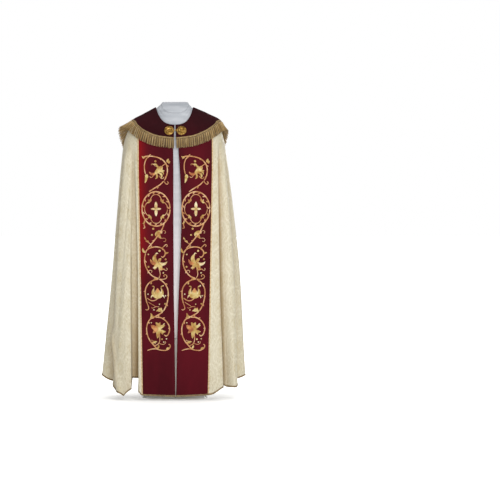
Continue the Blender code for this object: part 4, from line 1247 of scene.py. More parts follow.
def ellipse(half_width, half_height, lobes=0.0, count=24):
    """Points of an ellipse; lobes draws in four places between four round lobes."""
    angle = np.linspace(0, 2 * np.pi, count, endpoint=False)
    size = 1 - lobes * np.abs(np.sin(2 * angle)) ** 3
    return np.stack([half_width * size * np.cos(angle), half_height * size * np.sin(angle)], axis=1)


print("a medallion is drawn through", len(ellipse(1.0, 1.0)), "points")


# %% Table of the vine
def toned(tone, *rows):
    """Leaves of one tone from rows of x, z, heading, length, width and bend."""
    return [Leaf(*row, tone) for row in rows]


def trefoil(x, z, heading, spread, length=17, width=9, curled=False):
    """Three leaves from one point, spread degrees apart, the outer two curled outwards if wished."""
    return [Leaf(x, z, heading + k, length, width, k / 300 * curled, FILL) for k in (-spread, 0, spread)]


Motif = namedtuple("Motif", "name z shift stems leaves buds")
VINE = [
    Motif("lily", 1154, 0, [
        Stem(6, [(-64, 50), (-60, 62), (-33, 66), (2, 61), (32, 48), (52, 22), (57, -8), (51, -36), (39, -58)]),
        Stem(5.4, [(-31, 66), (-48, 52), (-57, 28), (-58, 2), (-53, -26)]),
        Stem(6, [(39, -58), (18, -78), (-10, -95), (-38, -113)]),
        Stem(4.4, [(39, -58), (47, -71), (57, -75), (60, -65), (53, -60)]),
        Stem(4, [(54, 32), (36, 20), (14, 2)]),
        Stem(3.2, [(-12, -30), (-20, -40), (-30, -40), (-30, -32)]),
        Stem(3.2, [(14, -30), (26, -46), (38, -44), (36, -36)]),
        Stem(3, [(-2, 12), (-12, 26), (-24, 26), (-22, 18)]),
    ], [
        *toned(FILL, (-53, -26, -96, 44, 13, 0.12), (-53, -26, -60, 22, 9, 0.2), (-52, 60, 160, 20, 9, 0.2)),
        *acanthus(57, 33, 70, 22, 12),
        *acanthus(57, 33, 14, 16, 10),
        *toned(FILL, (34, 16, 224, 62, 25, 0), (6, 6, 148, 30, 9, -0.4), (16, 0, 104, 20, 9, 0.1)),
        *toned(WARM, (-2, -18, 168, 34, 14, 0.3), (-4, -20, 196, 20, 9, 0.2)),
        *toned(FILL, (0, -22, 258, 27, 11, 0.3), (10, -18, 294, 32, 11, 0.36), (20, -12, 316, 24, 8, 0.3)),
        Leaf(22, 0, 344, 22, 11, -0.2, FILL),
        Leaf(26, 10, 222, 36, 6, 0, PALE),
    ], [Bud(-3, 40, 6)]),
    Motif("medallion", 956, -2, [
        Stem(4.6, [(-58, -54), (-61, -78), (-57, -94), (-68, -97)]),
        Stem(6.2, [(41, -71), (27, -105), (3, -140), (-23, -172), (-46, -199)]),
        Stem(2.4, [(6, -136), (22, -122), (35, -108), (46, -112), (44, -122), (38, -119)]),
        Stem(2.4, [(6, -140), (26, -146), (42, -146), (48, -156), (40, -164), (34, -158)]),
        Stem(3.2, [(-26, -176), (-40, -168), (-52, -160), (-50, -150)]),
    ], [
        *toned(FILL, (2, -110, -62, 46, 15, 0), (4, -112, -28, 28, 9, 0.2), (4, -114, -96, 26, 9, -0.2)),
        Leaf(8, -118, -62, 24, 5, 0, PALE),
        *toned(FILL, (-58, -60, 232, 18, 8, 0.2), (-52, -152, 118, 14, 7, 0.2), (-38, -166, 172, 16, 7, -0.3)),
    ], [Bud(-15, -99, 5.5), Bud(-22, -130, 5)]),
    Motif("star flower", 687, -5, [
        Stem(6, [(-52, 48), (-46, 63), (-28, 74), (0, 80), (28, 74), (44, 58), (45, 40), (34, 28), (25, 34)]),
        Stem(6, [(-52, 50), (-57, 18), (-53, -14), (-40, -42), (-18, -66), (12, -79)]),
        Stem(4.2, [(30, 73), (42, 84), (52, 92), (58, 84), (50, 79)]),
        Stem(4, [(12, -79), (28, -82), (46, -79), (54, -68), (46, -58), (37, -64), (43, -71)]),
        Stem(4, [(12, -79), (20, -56), (13, -24)]),
        Stem(3.2, [(-40, -42), (-28, -36), (-20, -44), (-27, -50)]),
        Stem(3, [(36, -30), (50, -38), (56, -30), (50, -24)]),
    ], [
        *toned(FILL, (-52, 50, 118, 28, 11, 0.2), (45, 44, 20, 20, 9, 0.1), (10, -80, 190, 24, 10, -0.2)),
        Leaf(10, 0, 152, 44, 17, 0.3, WARM),
        Leaf(12, -4, 98, 52, 21, 0.32, FILL),
        Leaf(-2, 40, 16, 15, 7, 0.4, PALE),
        Leaf(12, 2, 241, 42, 19, -0.06, FILL),
        Leaf(0, -16, 208, 20, 10, 0.15, PALE),
        Leaf(12, 2, 287, 44, 23, 0.05, FILL),
        Leaf(18, -10, 325, 34, 10, -0.34, WARM),
        Leaf(13, 4, 6, 44, 15, -0.3, PALE),
        Leaf(12, 2, 52, 26, 16, 0.1, FILL),
    ], [Bud(18, 60, 5.5), Bud(48, 18, 5), Bud(-38, -20, 5), Bud(-38, 42, 4), Bud(36, -50, 4)]),
    Motif("palmette", 527, -3, [
        Stem(6, [(12, 80), (-14, 74), (-38, 60), (-54, 36), (-58, 8), (-55, -22), (-49, -44)]),
        Stem(6, [(12, 80), (36, 62), (53, 34), (57, 2), (51, -36), (41, -62), (30, -82)]),
        Stem(4.4, [(-52, -34), (-44, -56), (-42, -68), (-50, -75), (-60, -71)]),
        Stem(6, [(30, -82), (10, -96), (-16, -110)]),
        Stem(4.6, [(6, -14), (-8, -26), (-28, -28), (-52, -14)]),
        Stem(3, [(-46, -34), (-26, -46), (-8, -58)]),
        Stem(3, [(13, -60), (-6, -58), (-22, -66), (-30, -60)]),
    ], [
        Leaf(4, -20, 90, 52, 38, 0, FILL),
        Leaf(4, 2, 90, 34, 19, 0, WARM),
        *toned(FILL, (2, -18, 102, 58, 14, 0.27), (6, -18, 78, 58, 14, -0.27)),
        *toned(PALE, (-10, 4, 98, 30, 6, 0.1), (18, 4, 82, 30, 6, -0.1)),
        *toned(FILL, (-13, 36, 152, 14, 7, -0.3), (21, 36, 28, 14, 7, 0.3)),
        *toned(PALE, (-6, -8, 205, 26, 8, -0.45), (14, -8, 335, 26, 8, 0.45)),
        *acanthus(20, -62, 236, 26, 11, 0.2),
        *toned(FILL, (30, -82, 178, 36, 13, -0.14), (-34, -90, 262, 26, 10, 0.3)),
    ], [
        Bud(-28, 57, 4.3), Bud(32, 46, 3.4), Bud(-44, 4, 3.4), Bud(43, -4, 3.4), Bud(12, -46, 3.4),
        Bud(40, -44, 4.3), Bud(-16, -74, 3.4),
    ]),
    Motif("open flower", 347, 1, [
        Stem(6, [(-16, 70), (14, 67), (42, 47), (56, 18), (51, -12), (38, -24), (28, -16)]),
        Stem(6, [(-16, 70), (-42, 57), (-57, 24), (-56, -14), (-42, -48), (-20, -74), (-8, -88)]),
        Stem(5.2, [(-58, -97), (-38, -90), (-14, -88), (10, -94), (36, -95), (54, -85), (58, -70), (48, -64)]),
        Stem(4, [(-20, -74), (2, -60), (7, -32), (3, -8)]),
        Stem(3, [(2, -60), (22, -66), (36, -58), (32, -48)]),
        Stem(3, [(-14, -66), (-22, -50), (-34, -48), (-32, -40)]),
    ], [
        *toned(FILL, (-30, -62, 20, 26, 11, 0.15), (-14, 71, 150, 26, 11, 0.2), (-10, -88, 64, 24, 10, -0.2)),
        Leaf(40, -94, 40, 20, 9, 0.2, FILL),
        *toned(WARM, (2, 9, 214, 36, 17, -0.1), (4, 10, 152, 47, 24, 0.1)),
        *toned(FILL, (2, 10, 114, 38, 18, -0.1), (2, 8, 76, 38, 18, 0.1), (0, 8, 30, 42, 17, 0.1)),
        *toned(FILL, (0, 8, 345, 40, 16, -0.1), (2, 10, 305, 35, 15, 0.1), (2, 12, 262, 50, 20, 0)),
        Leaf(28, 26, 62, 14, 7, 0.3, PALE),
    ], [Bud(18, -40, 4.6), Bud(26, -54, 3.4), Bud(40, -38, 3.4), Bud(-34, 42, 3.2)]),
]


print(len(VINE), "motifs up each band")


# %% Medallions and the whole vine
def plain_cross(x, z, half_width, half_height, tone=PALE):
    """A plain cross of four flared arms that meet in the middle."""
    arms = ((90, half_height), (270, half_height), (0, half_width), (180, half_width))
    return [Leaf(x, z, heading, reach, reach * 0.42, 0.0, tone) for heading, reach in arms]


def medallion_strokes():
    """The oval: a ring, an inner ring with four lobes, leaves in the corners and a plain cross in the middle."""
    rings = [(ellipse(70, 86), 6.2), (ellipse(57, 72, 0.2, 40), 3.6)]
    strokes = []
    for points, width in rings:
        path, length = smooth_path(np.concatenate([points, points[:1]]))
        even = np.full(len(path), width / 2)
        strokes.append(ribbon(path, length, even, even * 0.5, STEM))
    leaves = plain_cross(0, 0, 27, 38) + plain_cross(0, 0, 15, 20, FILL)
    for turn in (45, 135, 225, 315):
        x, z = 40 * np.cos(np.radians(turn)), 50 * np.sin(np.radians(turn))
        leaves += trefoil(x, z, turn, 62)
    for turn in range(0, 360, 24):
        x, z = 68 * np.cos(np.radians(turn)), 84 * np.sin(np.radians(turn))
        leaves.append(Leaf(x, z, turn + 128, 14, 6, 0.1, STEM))
    return strokes + [leaf_ribbon(row) for row in leaves]


def vine_ribbons():
    """All the strokes of the vine as ribbons whose places are (mm from the band's middle, height)."""
    placed = []
    for motif in VINE:
        small = [leaf for row in motif.stems if row.width > 5.5 for leaf in thorns(row)]
        made = [stem_ribbon(row) for row in motif.stems]
        made += [bud_ribbon(row) if isinstance(row, Bud) else leaf_ribbon(row) for row in small + motif.leaves]
        made += [bud_ribbon(row) for row in motif.buds]
        if motif.name == "medallion":
            made += medallion_strokes()
        placed += [row._replace(places=row.places + np.array([motif.shift, motif.z])) for row in made]
    return placed


print("the vine has", len(vine_ribbons()), "strokes")


# %% Laying strokes on cloth
def on_cloth(points, normals, x, z, lift):
    """Places on a grid of cloth seen square on. At each height z every column has its own place, and the two
    columns on either side of x are mixed. Then the place moves out by lift."""
    grid = np.concatenate([points, normals], axis=-1)
    at = np.stack(
        [
            np.stack([np.interp(-z, -grid[:, column, 2], grid[:, column, k]) for k in range(6)], axis=-1)
            for column in range(grid.shape[1])
        ]
    )
    if at[-1, :, 0].mean() < at[0, :, 0].mean():
        at = at[::-1]
    k = np.clip((at[..., 0] < x).sum(axis=0) - 1, 0, len(at) - 2)
    one, two = at[k, np.arange(len(x))], at[k + 1, np.arange(len(x))]
    share = np.clip((x - one[:, 0]) / (two[:, 0] - one[:, 0]), 0, 1)[:, None]
    found = one + (two - one) * share
    return found[:, :3] + unit(found[:, 3:]) * lift[:, None]


def stitched(name, ribbons, materials, place):
    """One mesh of ribbons. place(x, z, lift) turns their flat places into points. Every ribbon is closed: its
    rings are joined, its flat underside too, and each end shrinks to one point."""
    points, uv, quads, triangles, quad_tones, triangle_tones = [], [], [], [], [], []
    start = 0
    for row in ribbons:
        rings, steps = row.lift.shape
        index = start + np.arange((rings - 2) * steps).reshape(rings - 2, steps)
        following = np.roll(index, -1, axis=1)
        quads.append(
            np.stack([following[:-1].ravel(), index[:-1].ravel(), index[1:].ravel(), following[1:].ravel()], 1)
        )
        first, last = start + (rings - 2) * steps, start + (rings - 2) * steps + 1
        near = np.stack([index[0], following[0], np.full(steps, first)], axis=1)
        far = np.stack([following[-1], index[-1], np.full(steps, last)], axis=1)
        triangles += [near, far]
        quad_tones.append(np.full(len(quads[-1]), row.tone))
        triangle_tones += [np.full(2 * steps, row.tone)]
        ends = row.places[[0, -1]].mean(axis=1)
        flat = np.concatenate([row.places[1:-1].reshape(-1, 2), ends])
        lift = np.concatenate([row.lift[1:-1].ravel(), [0.0, 0.0]])
        points.append(np.column_stack([flat, lift]))
        uv.append(np.concatenate([row.uv[1:-1].reshape(-1, 2), row.uv[[0, -1], 0]]))
        start = last + 1
    flat = np.concatenate(points)
    laid = place(flat[:, 0], flat[:, 1], flat[:, 2] - STITCH_SINK)
    tones = np.concatenate(quad_tones + triangle_tones)
    return make_mesh(name, laid, faced_out(laid, quads + triangles), np.concatenate(uv), materials, tones)


print("strokes sink", STITCH_SINK, "mm into the pile")


# %% Thread materials
def thread_material(name, root, middle, tip, edge):
    """Rayon embroidery thread in satin stitch: shiny threads side by side, in patches 26 mm wide of three shades,
    with a paler couched edge. THREAD_WAVE radians a metre draws a thread every 1.2 mm, three times as coarse as the
    real ones, which would not show. The UV holds the length along the stroke in metres, and the share along it plus
    twice the share across it."""
    made, add, shader = new_material(name, middle, 0.4, Sheen_Weight=0.1)
    uv = add("UVMap", uv_map="cut")
    split = add("SeparateXYZ", (uv,)).node
    place = add("TexCoord", output="Object")
    uneven = add("TexNoise", {"Vector": place, "Scale": 160.0, "Detail": 3.0})
    broad = add("TexNoise", {"Vector": place, "Scale": 38.0, "Detail": 1.0})
    share = add("MapRange", (broad, 0.35, 0.65, 0.0, 1.0))
    shade = add("ValToRGB", (share,)).node
    ramp = shade.color_ramp
    ramp.elements[0].color, ramp.elements[1].color = linear(root), linear(tip)
    ramp.elements.new(0.5).color = linear(middle)
    across = add("Math.ABSOLUTE", (add("Math.SUBTRACT", (add("Math.DIVIDE", (split.outputs[1], 2.0)), 0.7)),))
    rim = add("MapRange", (across, 0.52, 0.66, 0.0, 0.6))
    edged = add("Mix", {0: rim, 6: shade.outputs[0], 7: linear(edge)}, 2, data_type="RGBA")
    worn = add("Math.MULTIPLY_ADD", (uneven, 0.5, 0.72))
    tint = add("VectorMath.SCALE", {0: edged, "Scale": worn})
    stitch = add("Math.SINE", (add("Math.MULTIPLY", (split.outputs[0], THREAD_WAVE)),))
    coat(shader, tint, stitch, 0.5, 0.0004)
    return made


THREADS = [
    thread_material("peach_gold_thread", "#B57A44", "#CE9560", "#DDB283", "#DDB98C"),
    thread_material("yellow_gold_thread", "#A87632", "#BE9A50", "#D6BE7C", "#DEC896"),
    thread_material("pale_cream_thread", "#CDAA70", "#DEC592", "#ECDCB6", "#ECDCB8"),
    thread_material("warm_orange_thread", "#9A5026", "#BC743A", "#D39A5C", "#D6A066"),
]
print(len(THREADS), "shades of thread")


# %% Embroidered bands
def band_middle(outer, z):
    """The x of a band's middle at each height."""
    left = np.interp(-z, -outer[:, 0, 2], outer[:, 0, 0])
    right = np.interp(-z, -outer[:, -1, 2], outer[:, -1, 0])
    return (left + right) / 2


def build_embroidery():
    """The same vine on both bands."""
    strokes = vine_ribbons()
    made = {}
    for side, (_, outer, _, _) in BANDS.items():
        facing = grid_normals(outer)

        def place(x, z, lift):
            return on_cloth(outer, facing, x + band_middle(outer, z), z, lift)

        piece = stitched(f"embroidery_{side}", strokes, THREADS, place)
        made[side] = dress(piece, "gold_braid")
        print(side, "embroidery:", len(piece.data.polygons), "faces")
    return made


EMBROIDERY = build_embroidery()

# %% [markdown]
# ## Emblem on the hood
# The back of the hood has a quatrefoil of twisted gold cord with a small trefoil above and below it, round a
# plain cross. The cord is two strands that wind round each other. Each strand's middle is the outline plus a
# small circle in the plane of the hood's normal, so the twist is real and catches the light as rope does.

# %% Cord helpers
STRAND_NEST = 0.85


def tube(centre, one, two, radius, sides, closed):
    """A tube round a path: centre + radius * (cos(a) * one + sin(a) * two), with flat ends unless closed."""
    a = np.linspace(0, 2 * np.pi, sides, endpoint=False)
    round_it = one[:, None] * np.cos(a)[:, None] + two[:, None] * np.sin(a)[:, None]
    points = centre[:, None] + round_it * radius
    index = np.arange(len(centre) * sides).reshape(len(centre), sides)
    run = run_along(centre) * MM
    uv = np.stack([np.repeat(run, sides), np.tile(a / (2 * np.pi), len(centre))], axis=1)
    ends = [] if closed else [index[:1, ::-1], index[-1:]]
    return points.reshape(-1, 3), [walls(index, closed), *ends], uv


def joined(name, parts, materials):
    """One mesh of several closed (points, faces, uv) parts."""
    offsets = np.cumsum([0] + [len(part[0]) for part in parts[:-1]])
    faces = [array + offset for part, offset in zip(parts, offsets) for array in faced_out(*part[:2])]
    points, uv = (np.concatenate([part[k] for part in parts]) for k in (0, 2))
    return make_mesh(name, points, faces, uv, materials)


def twisted_cord(path, up, strand, pitch):
    """Two strands round a closed path, pitch mm for each turn, sunk into each other by STRAND_NEST. up is the
    surface's normal at each point."""
    forward = unit(np.roll(path, -1, axis=0) - np.roll(path, 1, axis=0))
    across = unit(np.cross(up, forward))
    whole = np.linalg.norm(np.roll(path, -1, axis=0) - path, axis=1).sum()
    turns = max(round(whole / pitch), 1)
    parts = []
    for start in (0.0, np.pi):
        angle = start + 2 * np.pi * turns * run_along(path) / whole
        offset = across * np.cos(angle)[:, None] + up * np.sin(angle)[:, None]
        parts.append(tube(path + offset * strand * STRAND_NEST + up * strand, across, up, strand, 6, True))
    return parts


print("the cord's strands sink", round(1 - STRAND_NEST, 2), "of their radius into each other")


# %% Cord material
def cord_material():
    """Gold and cream yarns twisted into one cord: the two colours take turns every 9 mm of its length. Fibres are
    1.1 mm wide, since real ones of 0.1 mm would not show."""
    made, add, shader = new_material("gold_cream_cord", "#D0AC6C", 0.5, Sheen_Weight=0.1)
    uv = add("UVMap", uv_map="cut")
    run = add("SeparateXYZ", (uv,))
    wave = add("Math.SINE", (add("Math.MULTIPLY", (run, 2 * np.pi / 0.009)),))
    share = add("MapRange", (wave, -0.35, 0.35, 0.0, 1.0))
    tint = add("Mix", {0: share, 6: linear("#B98A44"), 7: linear("#EAD7AC")}, 2, data_type="RGBA")
    fibre = add("TexNoise", {"Vector": uv, "Scale": 900.0, "Detail": 2.0})
    coat(shader, tint, fibre, 0.4, 0.0003)
    return made


# %% Quatrefoil
EMBLEM_Z = 1232.0
LOBE_ACROSS, LOBE_ALONG = 53.0, 58.0
EMBLEM_HALF_TURN = 0.95
CORD_STRAND, CORD_PITCH, CORD_STEP = 1.7, 11.0, 1.6


def quatrefoil(size, count=120):
    """Four round lobes that meet at cusps: from the middle, the outline is the farthest edge of four circles,
    each of radius size whose middle lies size * 0.98 to one side."""
    angle = np.linspace(0, 2 * np.pi, count, endpoint=False)
    away = np.abs((angle + np.pi / 4) % (np.pi / 2) - np.pi / 4)
    reach = size * (0.98 * np.cos(away) + np.sqrt(1 - (0.98 * np.sin(away)) ** 2))
    return np.stack([reach * np.cos(angle), reach * np.sin(angle)], axis=1)


def build_emblem():
    """Cord outline, finials and cross on the back of the hood."""
    surface = hood_outer[:, np.abs(HOOD_TURNS - np.pi) < EMBLEM_HALF_TURN]
    facing = grid_normals(surface)

    def place(x, z, lift):
        return on_cloth(surface, facing, x, z, lift)

    outline = quatrefoil(1.0) * np.array([LOBE_ACROSS, LOBE_ALONG]) + np.array([0, EMBLEM_Z])
    path = smooth_path(outline, CORD_STEP, closed=True)[0][:-1]
    at = place(path[:, 0], path[:, 1], np.zeros(len(path)))
    above = place(path[:, 0], path[:, 1], np.ones(len(path)))
    parts = twisted_cord(at, above - at, CORD_STRAND, CORD_PITCH)
    cord = joined("quatrefoil_cord", parts, [cord_material()])
    dress(cord, "gold_braid")
    leaves = []
    for end, way in ((2 * LOBE_ALONG, 90), (-2 * LOBE_ALONG, 270)):
        leaves += trefoil(0, EMBLEM_Z + end, way, 52)
    for way in (45, 135, 225, 315):
        x, z = 42 * np.cos(np.radians(way)), 46 * np.sin(np.radians(way))
        leaves += trefoil(x, EMBLEM_Z + z, way, 60, 24, 11, True)
        leaves += [Leaf(x * 0.55, EMBLEM_Z + z * 0.55, way + 180, 16, 8, 0.0, PALE)]
    leaves += plain_cross(0, EMBLEM_Z, 66, 76, FILL) + plain_cross(0, EMBLEM_Z, 38, 44, PALE)
    strokes = [leaf_ribbon(row) for row in leaves] + [bud_ribbon(Bud(0, EMBLEM_Z, 10))]
    cross = stitched("hood_cross", strokes, THREADS, place)
    dress(cross, "gold_braid")
    print("quatrefoil is", round(np.ptp(outline[:, 0])), "by", round(np.ptp(outline[:, 1])), "mm")
    return cord, cross


EMBLEM = build_emblem()

# %% [markdown]
# ## Clasp
# The clasp is two round filigree bosses joined by a hook and an eye. Filigree is soldered from twisted wire, so
# every boss here is a turned dish with a rope rim, a ring of wire loops, a ring of beads and a domed middle. The
# place and the tilt of each boss come from its plain solid: the middle of its points, and the direction in which
# they spread least.

# %% Gilt metal
def gilt_material():
    """Antique gilt brass: a warm metal, duller and darker in patches 8 mm wide, where wear never reaches."""
    made, add, shader = new_material("antique_gilt_brass", "#C09A54", 0.5, 1.0)
    place = add("TexCoord", output="Object")
    soil = add("TexNoise", {"Vector": place, "Scale": 130.0, "Detail": 5.0})
    share = add("MapRange", (soil, 0.42, 0.62, 0.0, 1.0))
    tint = add("Mix", {0: share, 6: linear("#86642C"), 7: linear("#CDA961")}, 2, data_type="RGBA")
    coat(shader, tint, soil, 0.2, 0.0003, add("MapRange", (soil, 0.3, 0.7, 0.66, 0.46)))
    return made


GILT = gilt_material()
print("gilt is ready")


# %% Bosses
BOSS_SIDES = 72
BOSS_RADIUS, EYE_RADIUS, WIRE_RADIUS = 24.0, 3.4, 0.9


def node_points(name):
    """The points of a plain solid, in mm."""
    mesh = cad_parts[name].data
    found = np.empty(len(mesh.vertices) * 3, np.float32)
    mesh.vertices.foreach_get("co", found)
    return found.reshape(-1, 3).astype(float) / MM


def axes_of(name):
    """Middle and three axes of a flat round solid; the last axis points forward."""
    found = node_points(name)
    middle = (found.min(axis=0) + found.max(axis=0)) / 2
    low = found - found.mean(axis=0)
    axis = np.linalg.svd(low, full_matrices=False)[2][2]
    axis = axis * np.sign(-axis[1])
    right = np.cross(axis, [0.0, 0.0, -1.0])
    right /= np.linalg.norm(right)
    depth = low @ axis
    return middle, right, np.cross(right, axis), axis, float(np.ptp(depth))


print("the left boss faces", axes_of("clasp_boss_left")[3].round(2))


# %% Turned shapes and wire
def turned(profile, sides=BOSS_SIDES):
    """A closed turned body about +Z from (radius, height) points; a radius of 0 at both ends closes it."""
    profile = np.asarray(profile, float)
    a = np.linspace(0, 2 * np.pi, sides, endpoint=False)
    radius, height = profile[1:-1, :1], profile[1:-1, 1:]
    grid = np.stack([radius * np.cos(a), radius * np.sin(a), height + 0 * a], axis=-1)
    points, faces = ring_body(grid, [[0, 0, profile[0, 1]], [0, 0, profile[-1, 1]]])
    return points, faces, points[:, :2] * MM


def hoop(radius, height, wire, middle=(0.0, 0.0), count=40):
    """A plain wire ring."""
    a = np.linspace(0, 2 * np.pi, count, endpoint=False)
    out = np.stack([np.cos(a), np.sin(a), 0 * a], axis=1)
    centre = out * radius + np.array([middle[0], middle[1], height])
    return tube(centre, out, np.tile([0.0, 0.0, 1.0], (count, 1)), wire, 6, True)


def bead(x, y, height, radius):
    """A small round bead, with its lower half sunk."""
    a = np.linspace(-0.5 * np.pi, 0.5 * np.pi, 7)
    points, faces, uv = turned(np.stack([radius * np.cos(a), radius * np.sin(a)], axis=1), 10)
    return points + np.array([x, y, height]), faces, uv


def boss_parts(radius, depth):
    """One boss about +Z, from its back at 0 to its domed middle at depth."""
    r, d = radius, depth
    dish = [
        (0, 0), (r * 0.7, 0), (r * 0.93, d * 0.08), (r * 0.97, d * 0.24), (r * 0.93, d * 0.36),
        (r * 0.82, d * 0.34), (r * 0.74, d * 0.42), (r * 0.62, d * 0.62), (r * 0.54, d * 0.66),
        (r * 0.44, d * 0.5), (r * 0.34, d * 0.42), (r * 0.26, d * 0.6), (r * 0.22, d * 0.86),
        (r * 0.17, d * 0.9), (r * 0.13, d * 0.7), (r * 0.11, d * 0.3), (0, d * 0.26),
    ]
    parts = [turned(dish)]
    rim = np.linspace(0, 2 * np.pi, 240, endpoint=False)
    for share, height, strand in ((0.94, 0.3, 1.15), (0.58, 0.62, 0.9), (0.3, 0.42, 0.7)):
        ring = np.stack([r * share * np.cos(rim), r * share * np.sin(rim), d * height + 0 * rim], axis=1)
        parts += twisted_cord(ring, np.tile([0.0, 0.0, 1.0], (240, 1)), strand, 5.2 * strand)
    for k in range(10):
        turn = 2 * np.pi * k / 10
        x, y = r * 0.77 * np.cos(turn), r * 0.77 * np.sin(turn)
        parts += [hoop(r * 0.1, d * 0.47, 0.6, (x, y), 20), bead(x, y, d * 0.46, 1.5)]
        between = turn + np.pi / 10
        parts.append(bead(r * 0.43 * np.cos(between), r * 0.43 * np.sin(between), d * 0.52, 1.3))
    return parts


print("a boss has", len(boss_parts(BOSS_RADIUS, 9.5)), "parts")


# %% Clasp
def build_clasp():
    """The bosses, and the bent wire of the hook and the eye between them."""
    centres = {}
    for side in ("left", "right"):
        middle, right, up, ahead, depth = axes_of(f"clasp_boss_{side}")
        turn = np.stack([right, up, ahead])
        back = middle - ahead * depth / 2
        placed = [(part[0] @ turn + back, part[1], part[2]) for part in boss_parts(BOSS_RADIUS, depth)]
        piece = joined(f"filigree_boss_{side}", placed, [GILT])
        dress(piece, "gilt_metal", f"clasp_boss_{side}")
        centres[side] = (middle, ahead, depth)
    low, ahead, _ = centres["left"]
    high = centres["right"][0]
    hook = node_points("clasp_hook").mean(axis=0)
    eye = node_points("clasp_eye").mean(axis=0)
    wires = []
    up = np.array([0.0, 0.0, 1.0])
    for z in (-2.0, 2.0):
        ends = [low + [22, 0, z], hook + [-2, -1.5, z], eye + [-1.0, -2.0, z * 0.5], eye + [1.0, -0.6, z * 0.4]]
        path = np.asarray(ends)[:, [0, 1]]
        flat, _ = smooth_path(path, 1.0)
        run = np.linspace(0, 1, len(flat))
        heights = np.interp(run, np.linspace(0, 1, 4), [end[2] for end in ends])
        centre = np.column_stack([flat, heights])
        forward = unit(np.gradient(centre, axis=0))
        side = unit(np.cross(forward, up))
        wires.append(tube(centre, side, np.cross(side, forward), WIRE_RADIUS, 8, False))
    piece = joined("clasp_hook_wire", wires, [GILT])
    dress(piece, "pale_metal", "clasp_hook")
    ring, faces, uv = hoop(EYE_RADIUS, 0.0, WIRE_RADIUS, count=28)
    ring = ring[:, [0, 2, 1]] * np.array([1.0, -1.0, 1.3]) + eye
    bar_ends = np.linspace(eye + [2.6, 0, 0], high + [-22, 0, 0], 8)
    bar = tube(bar_ends, np.tile([0.0, 1.0, 0.0], (8, 1)), np.tile(up, (8, 1)), WIRE_RADIUS, 8, False)
    piece = joined("clasp_eye_wire", [(ring, faces, uv), bar], [GILT])
    dress(piece, "pale_metal", "clasp_eye")
    print("bosses stand", round(depth, 1), "mm deep")


build_clasp()

# %% [markdown]
# ## The dress form
# Under the cloak is a limbless form: a padded shell under stretched jersey, on a painted steel pole and base.
# Only its neck and a strip between the fronts show. It is made again here from its measured rings, with many
# more rows, so that the neck rounds softly into the shoulders.

# %% Dress form
Torso = namedtuple("Torso", "z half front back")
TORSO = [
    Torso(1262, 236, 116, 130),
    Torso(1180, 208, 118, 128),
    Torso(1060, 178, 116, 114),
    Torso(960, 168, 114, 108),
    Torso(860, 182, 120, 118),
    Torso(760, 190, 128, 124),
    Torso(640, 184, 134, 126),
    Torso(520, 172, 140, 122),
    Torso(400, 158, 144, 114),
    Torso(310, 144, 142, 104),
]
NECK_RADIUS, NECK_CENTRE, NECK_SLANT, NECK_SQUARE = 68.0, (0.0, -8.0, 1481.5), 0.40, 2.7
NECK_CAP_THICK, NECK_HOLLOW, NECK_DROOP = 5.5, -2.0, 18.0
RUCK_HEIGHT = 0.8
FORM_INSET, FORM_EASE = 2.2, 20.0
FORM_SIDES, NECK_ROWS, SHOULDER_ROWS, TORSO_ROWS = 144, 20, 22, 60
SHOULDER_END = 0.335


def slanted_ring(turns, radius, lift):
    """A squared ring round the neck, tipped forward; lift runs along its own axis. It droops to the front and
    the back by NECK_DROOP * (along / NECK_RADIUS)^2."""
    side, ahead = np.sin(turns), np.cos(turns)
    reach = radius * (np.abs(side) ** NECK_SQUARE + np.abs(ahead) ** NECK_SQUARE) ** (-1 / NECK_SQUARE)
    x, along = -reach * side, -reach * ahead
    y = NECK_CENTRE[1] + along * np.cos(NECK_SLANT) - lift * np.sin(NECK_SLANT)
    droop = NECK_DROOP * (along / NECK_RADIUS) ** 2
    z = NECK_CENTRE[2] + along * np.sin(NECK_SLANT) + lift * np.cos(NECK_SLANT) - droop
    return np.stack([NECK_CENTRE[0] + x, y, z], axis=-1)


def closed_rings(name, rings, materials):
    """A closed body through rings of the same size, with a point in the middle of both ends."""
    grid = np.stack(rings)
    points, faces = ring_body(grid, [grid[0].mean(axis=0), grid[-1].mean(axis=0)])
    around = np.linspace(0, 1, grid.shape[1])
    uv = np.stack([np.tile(around, grid.shape[0]), grid[..., 2].ravel() * MM], axis=1)
    uv = np.concatenate([uv, [[0.5, 0], [0.5, 0]]])
    return make_mesh(name, points, faces, uv, materials)


print("the torso has", len(TORSO), "measured rings")


# %% Jersey and form
def jersey_material():
    """White cotton jersey stretched over the form: ribs of 1.6 mm, since real ones of 0.6 mm would not show, with
    soft rucks where it is gathered. It is painted whiter from 1.4 m down to 0.3 m: painted light on the strip that
    shows between the fronts, where little lamp light reaches."""
    made, add, shader = new_material("white_jersey", "#BFC3C8", 0.85, Sheen_Weight=0.05)
    place = add("TexCoord", output="Object")
    wide = add("Mapping", {"Vector": place, "Scale": (5.0, 5.0, 26.0)})
    rucks = add("TexNoise", {"Vector": wide, "Scale": 1.6, "Detail": 2.0})
    ribs = add("TexNoise", {"Vector": place, "Scale": 620.0, "Detail": 1.0})
    share = add("MapRange", (rucks, 0.35, 0.65, 0.0, 1.0))
    tint = add("Mix", {0: share, 6: linear("#A2A6AC"), 7: linear("#B6B9BE")}, 2, data_type="RGBA")
    # Painted light: the jersey turns whiter towards its foot.
    tall = add("SeparateXYZ", (place,), 2)
    low = add("MapRange", (tall, 1.4, 0.3, 0.0, 1.0))
    tint = add("Mix", {0: low, 6: tint, 7: linear("#F8F0F0")}, 2, data_type="RGBA")
    height = add("Math.MULTIPLY_ADD", (rucks, 6.0, ribs))
    coat(shader, tint, height, 0.4, 0.0008)
    return made


JERSEY = jersey_material()


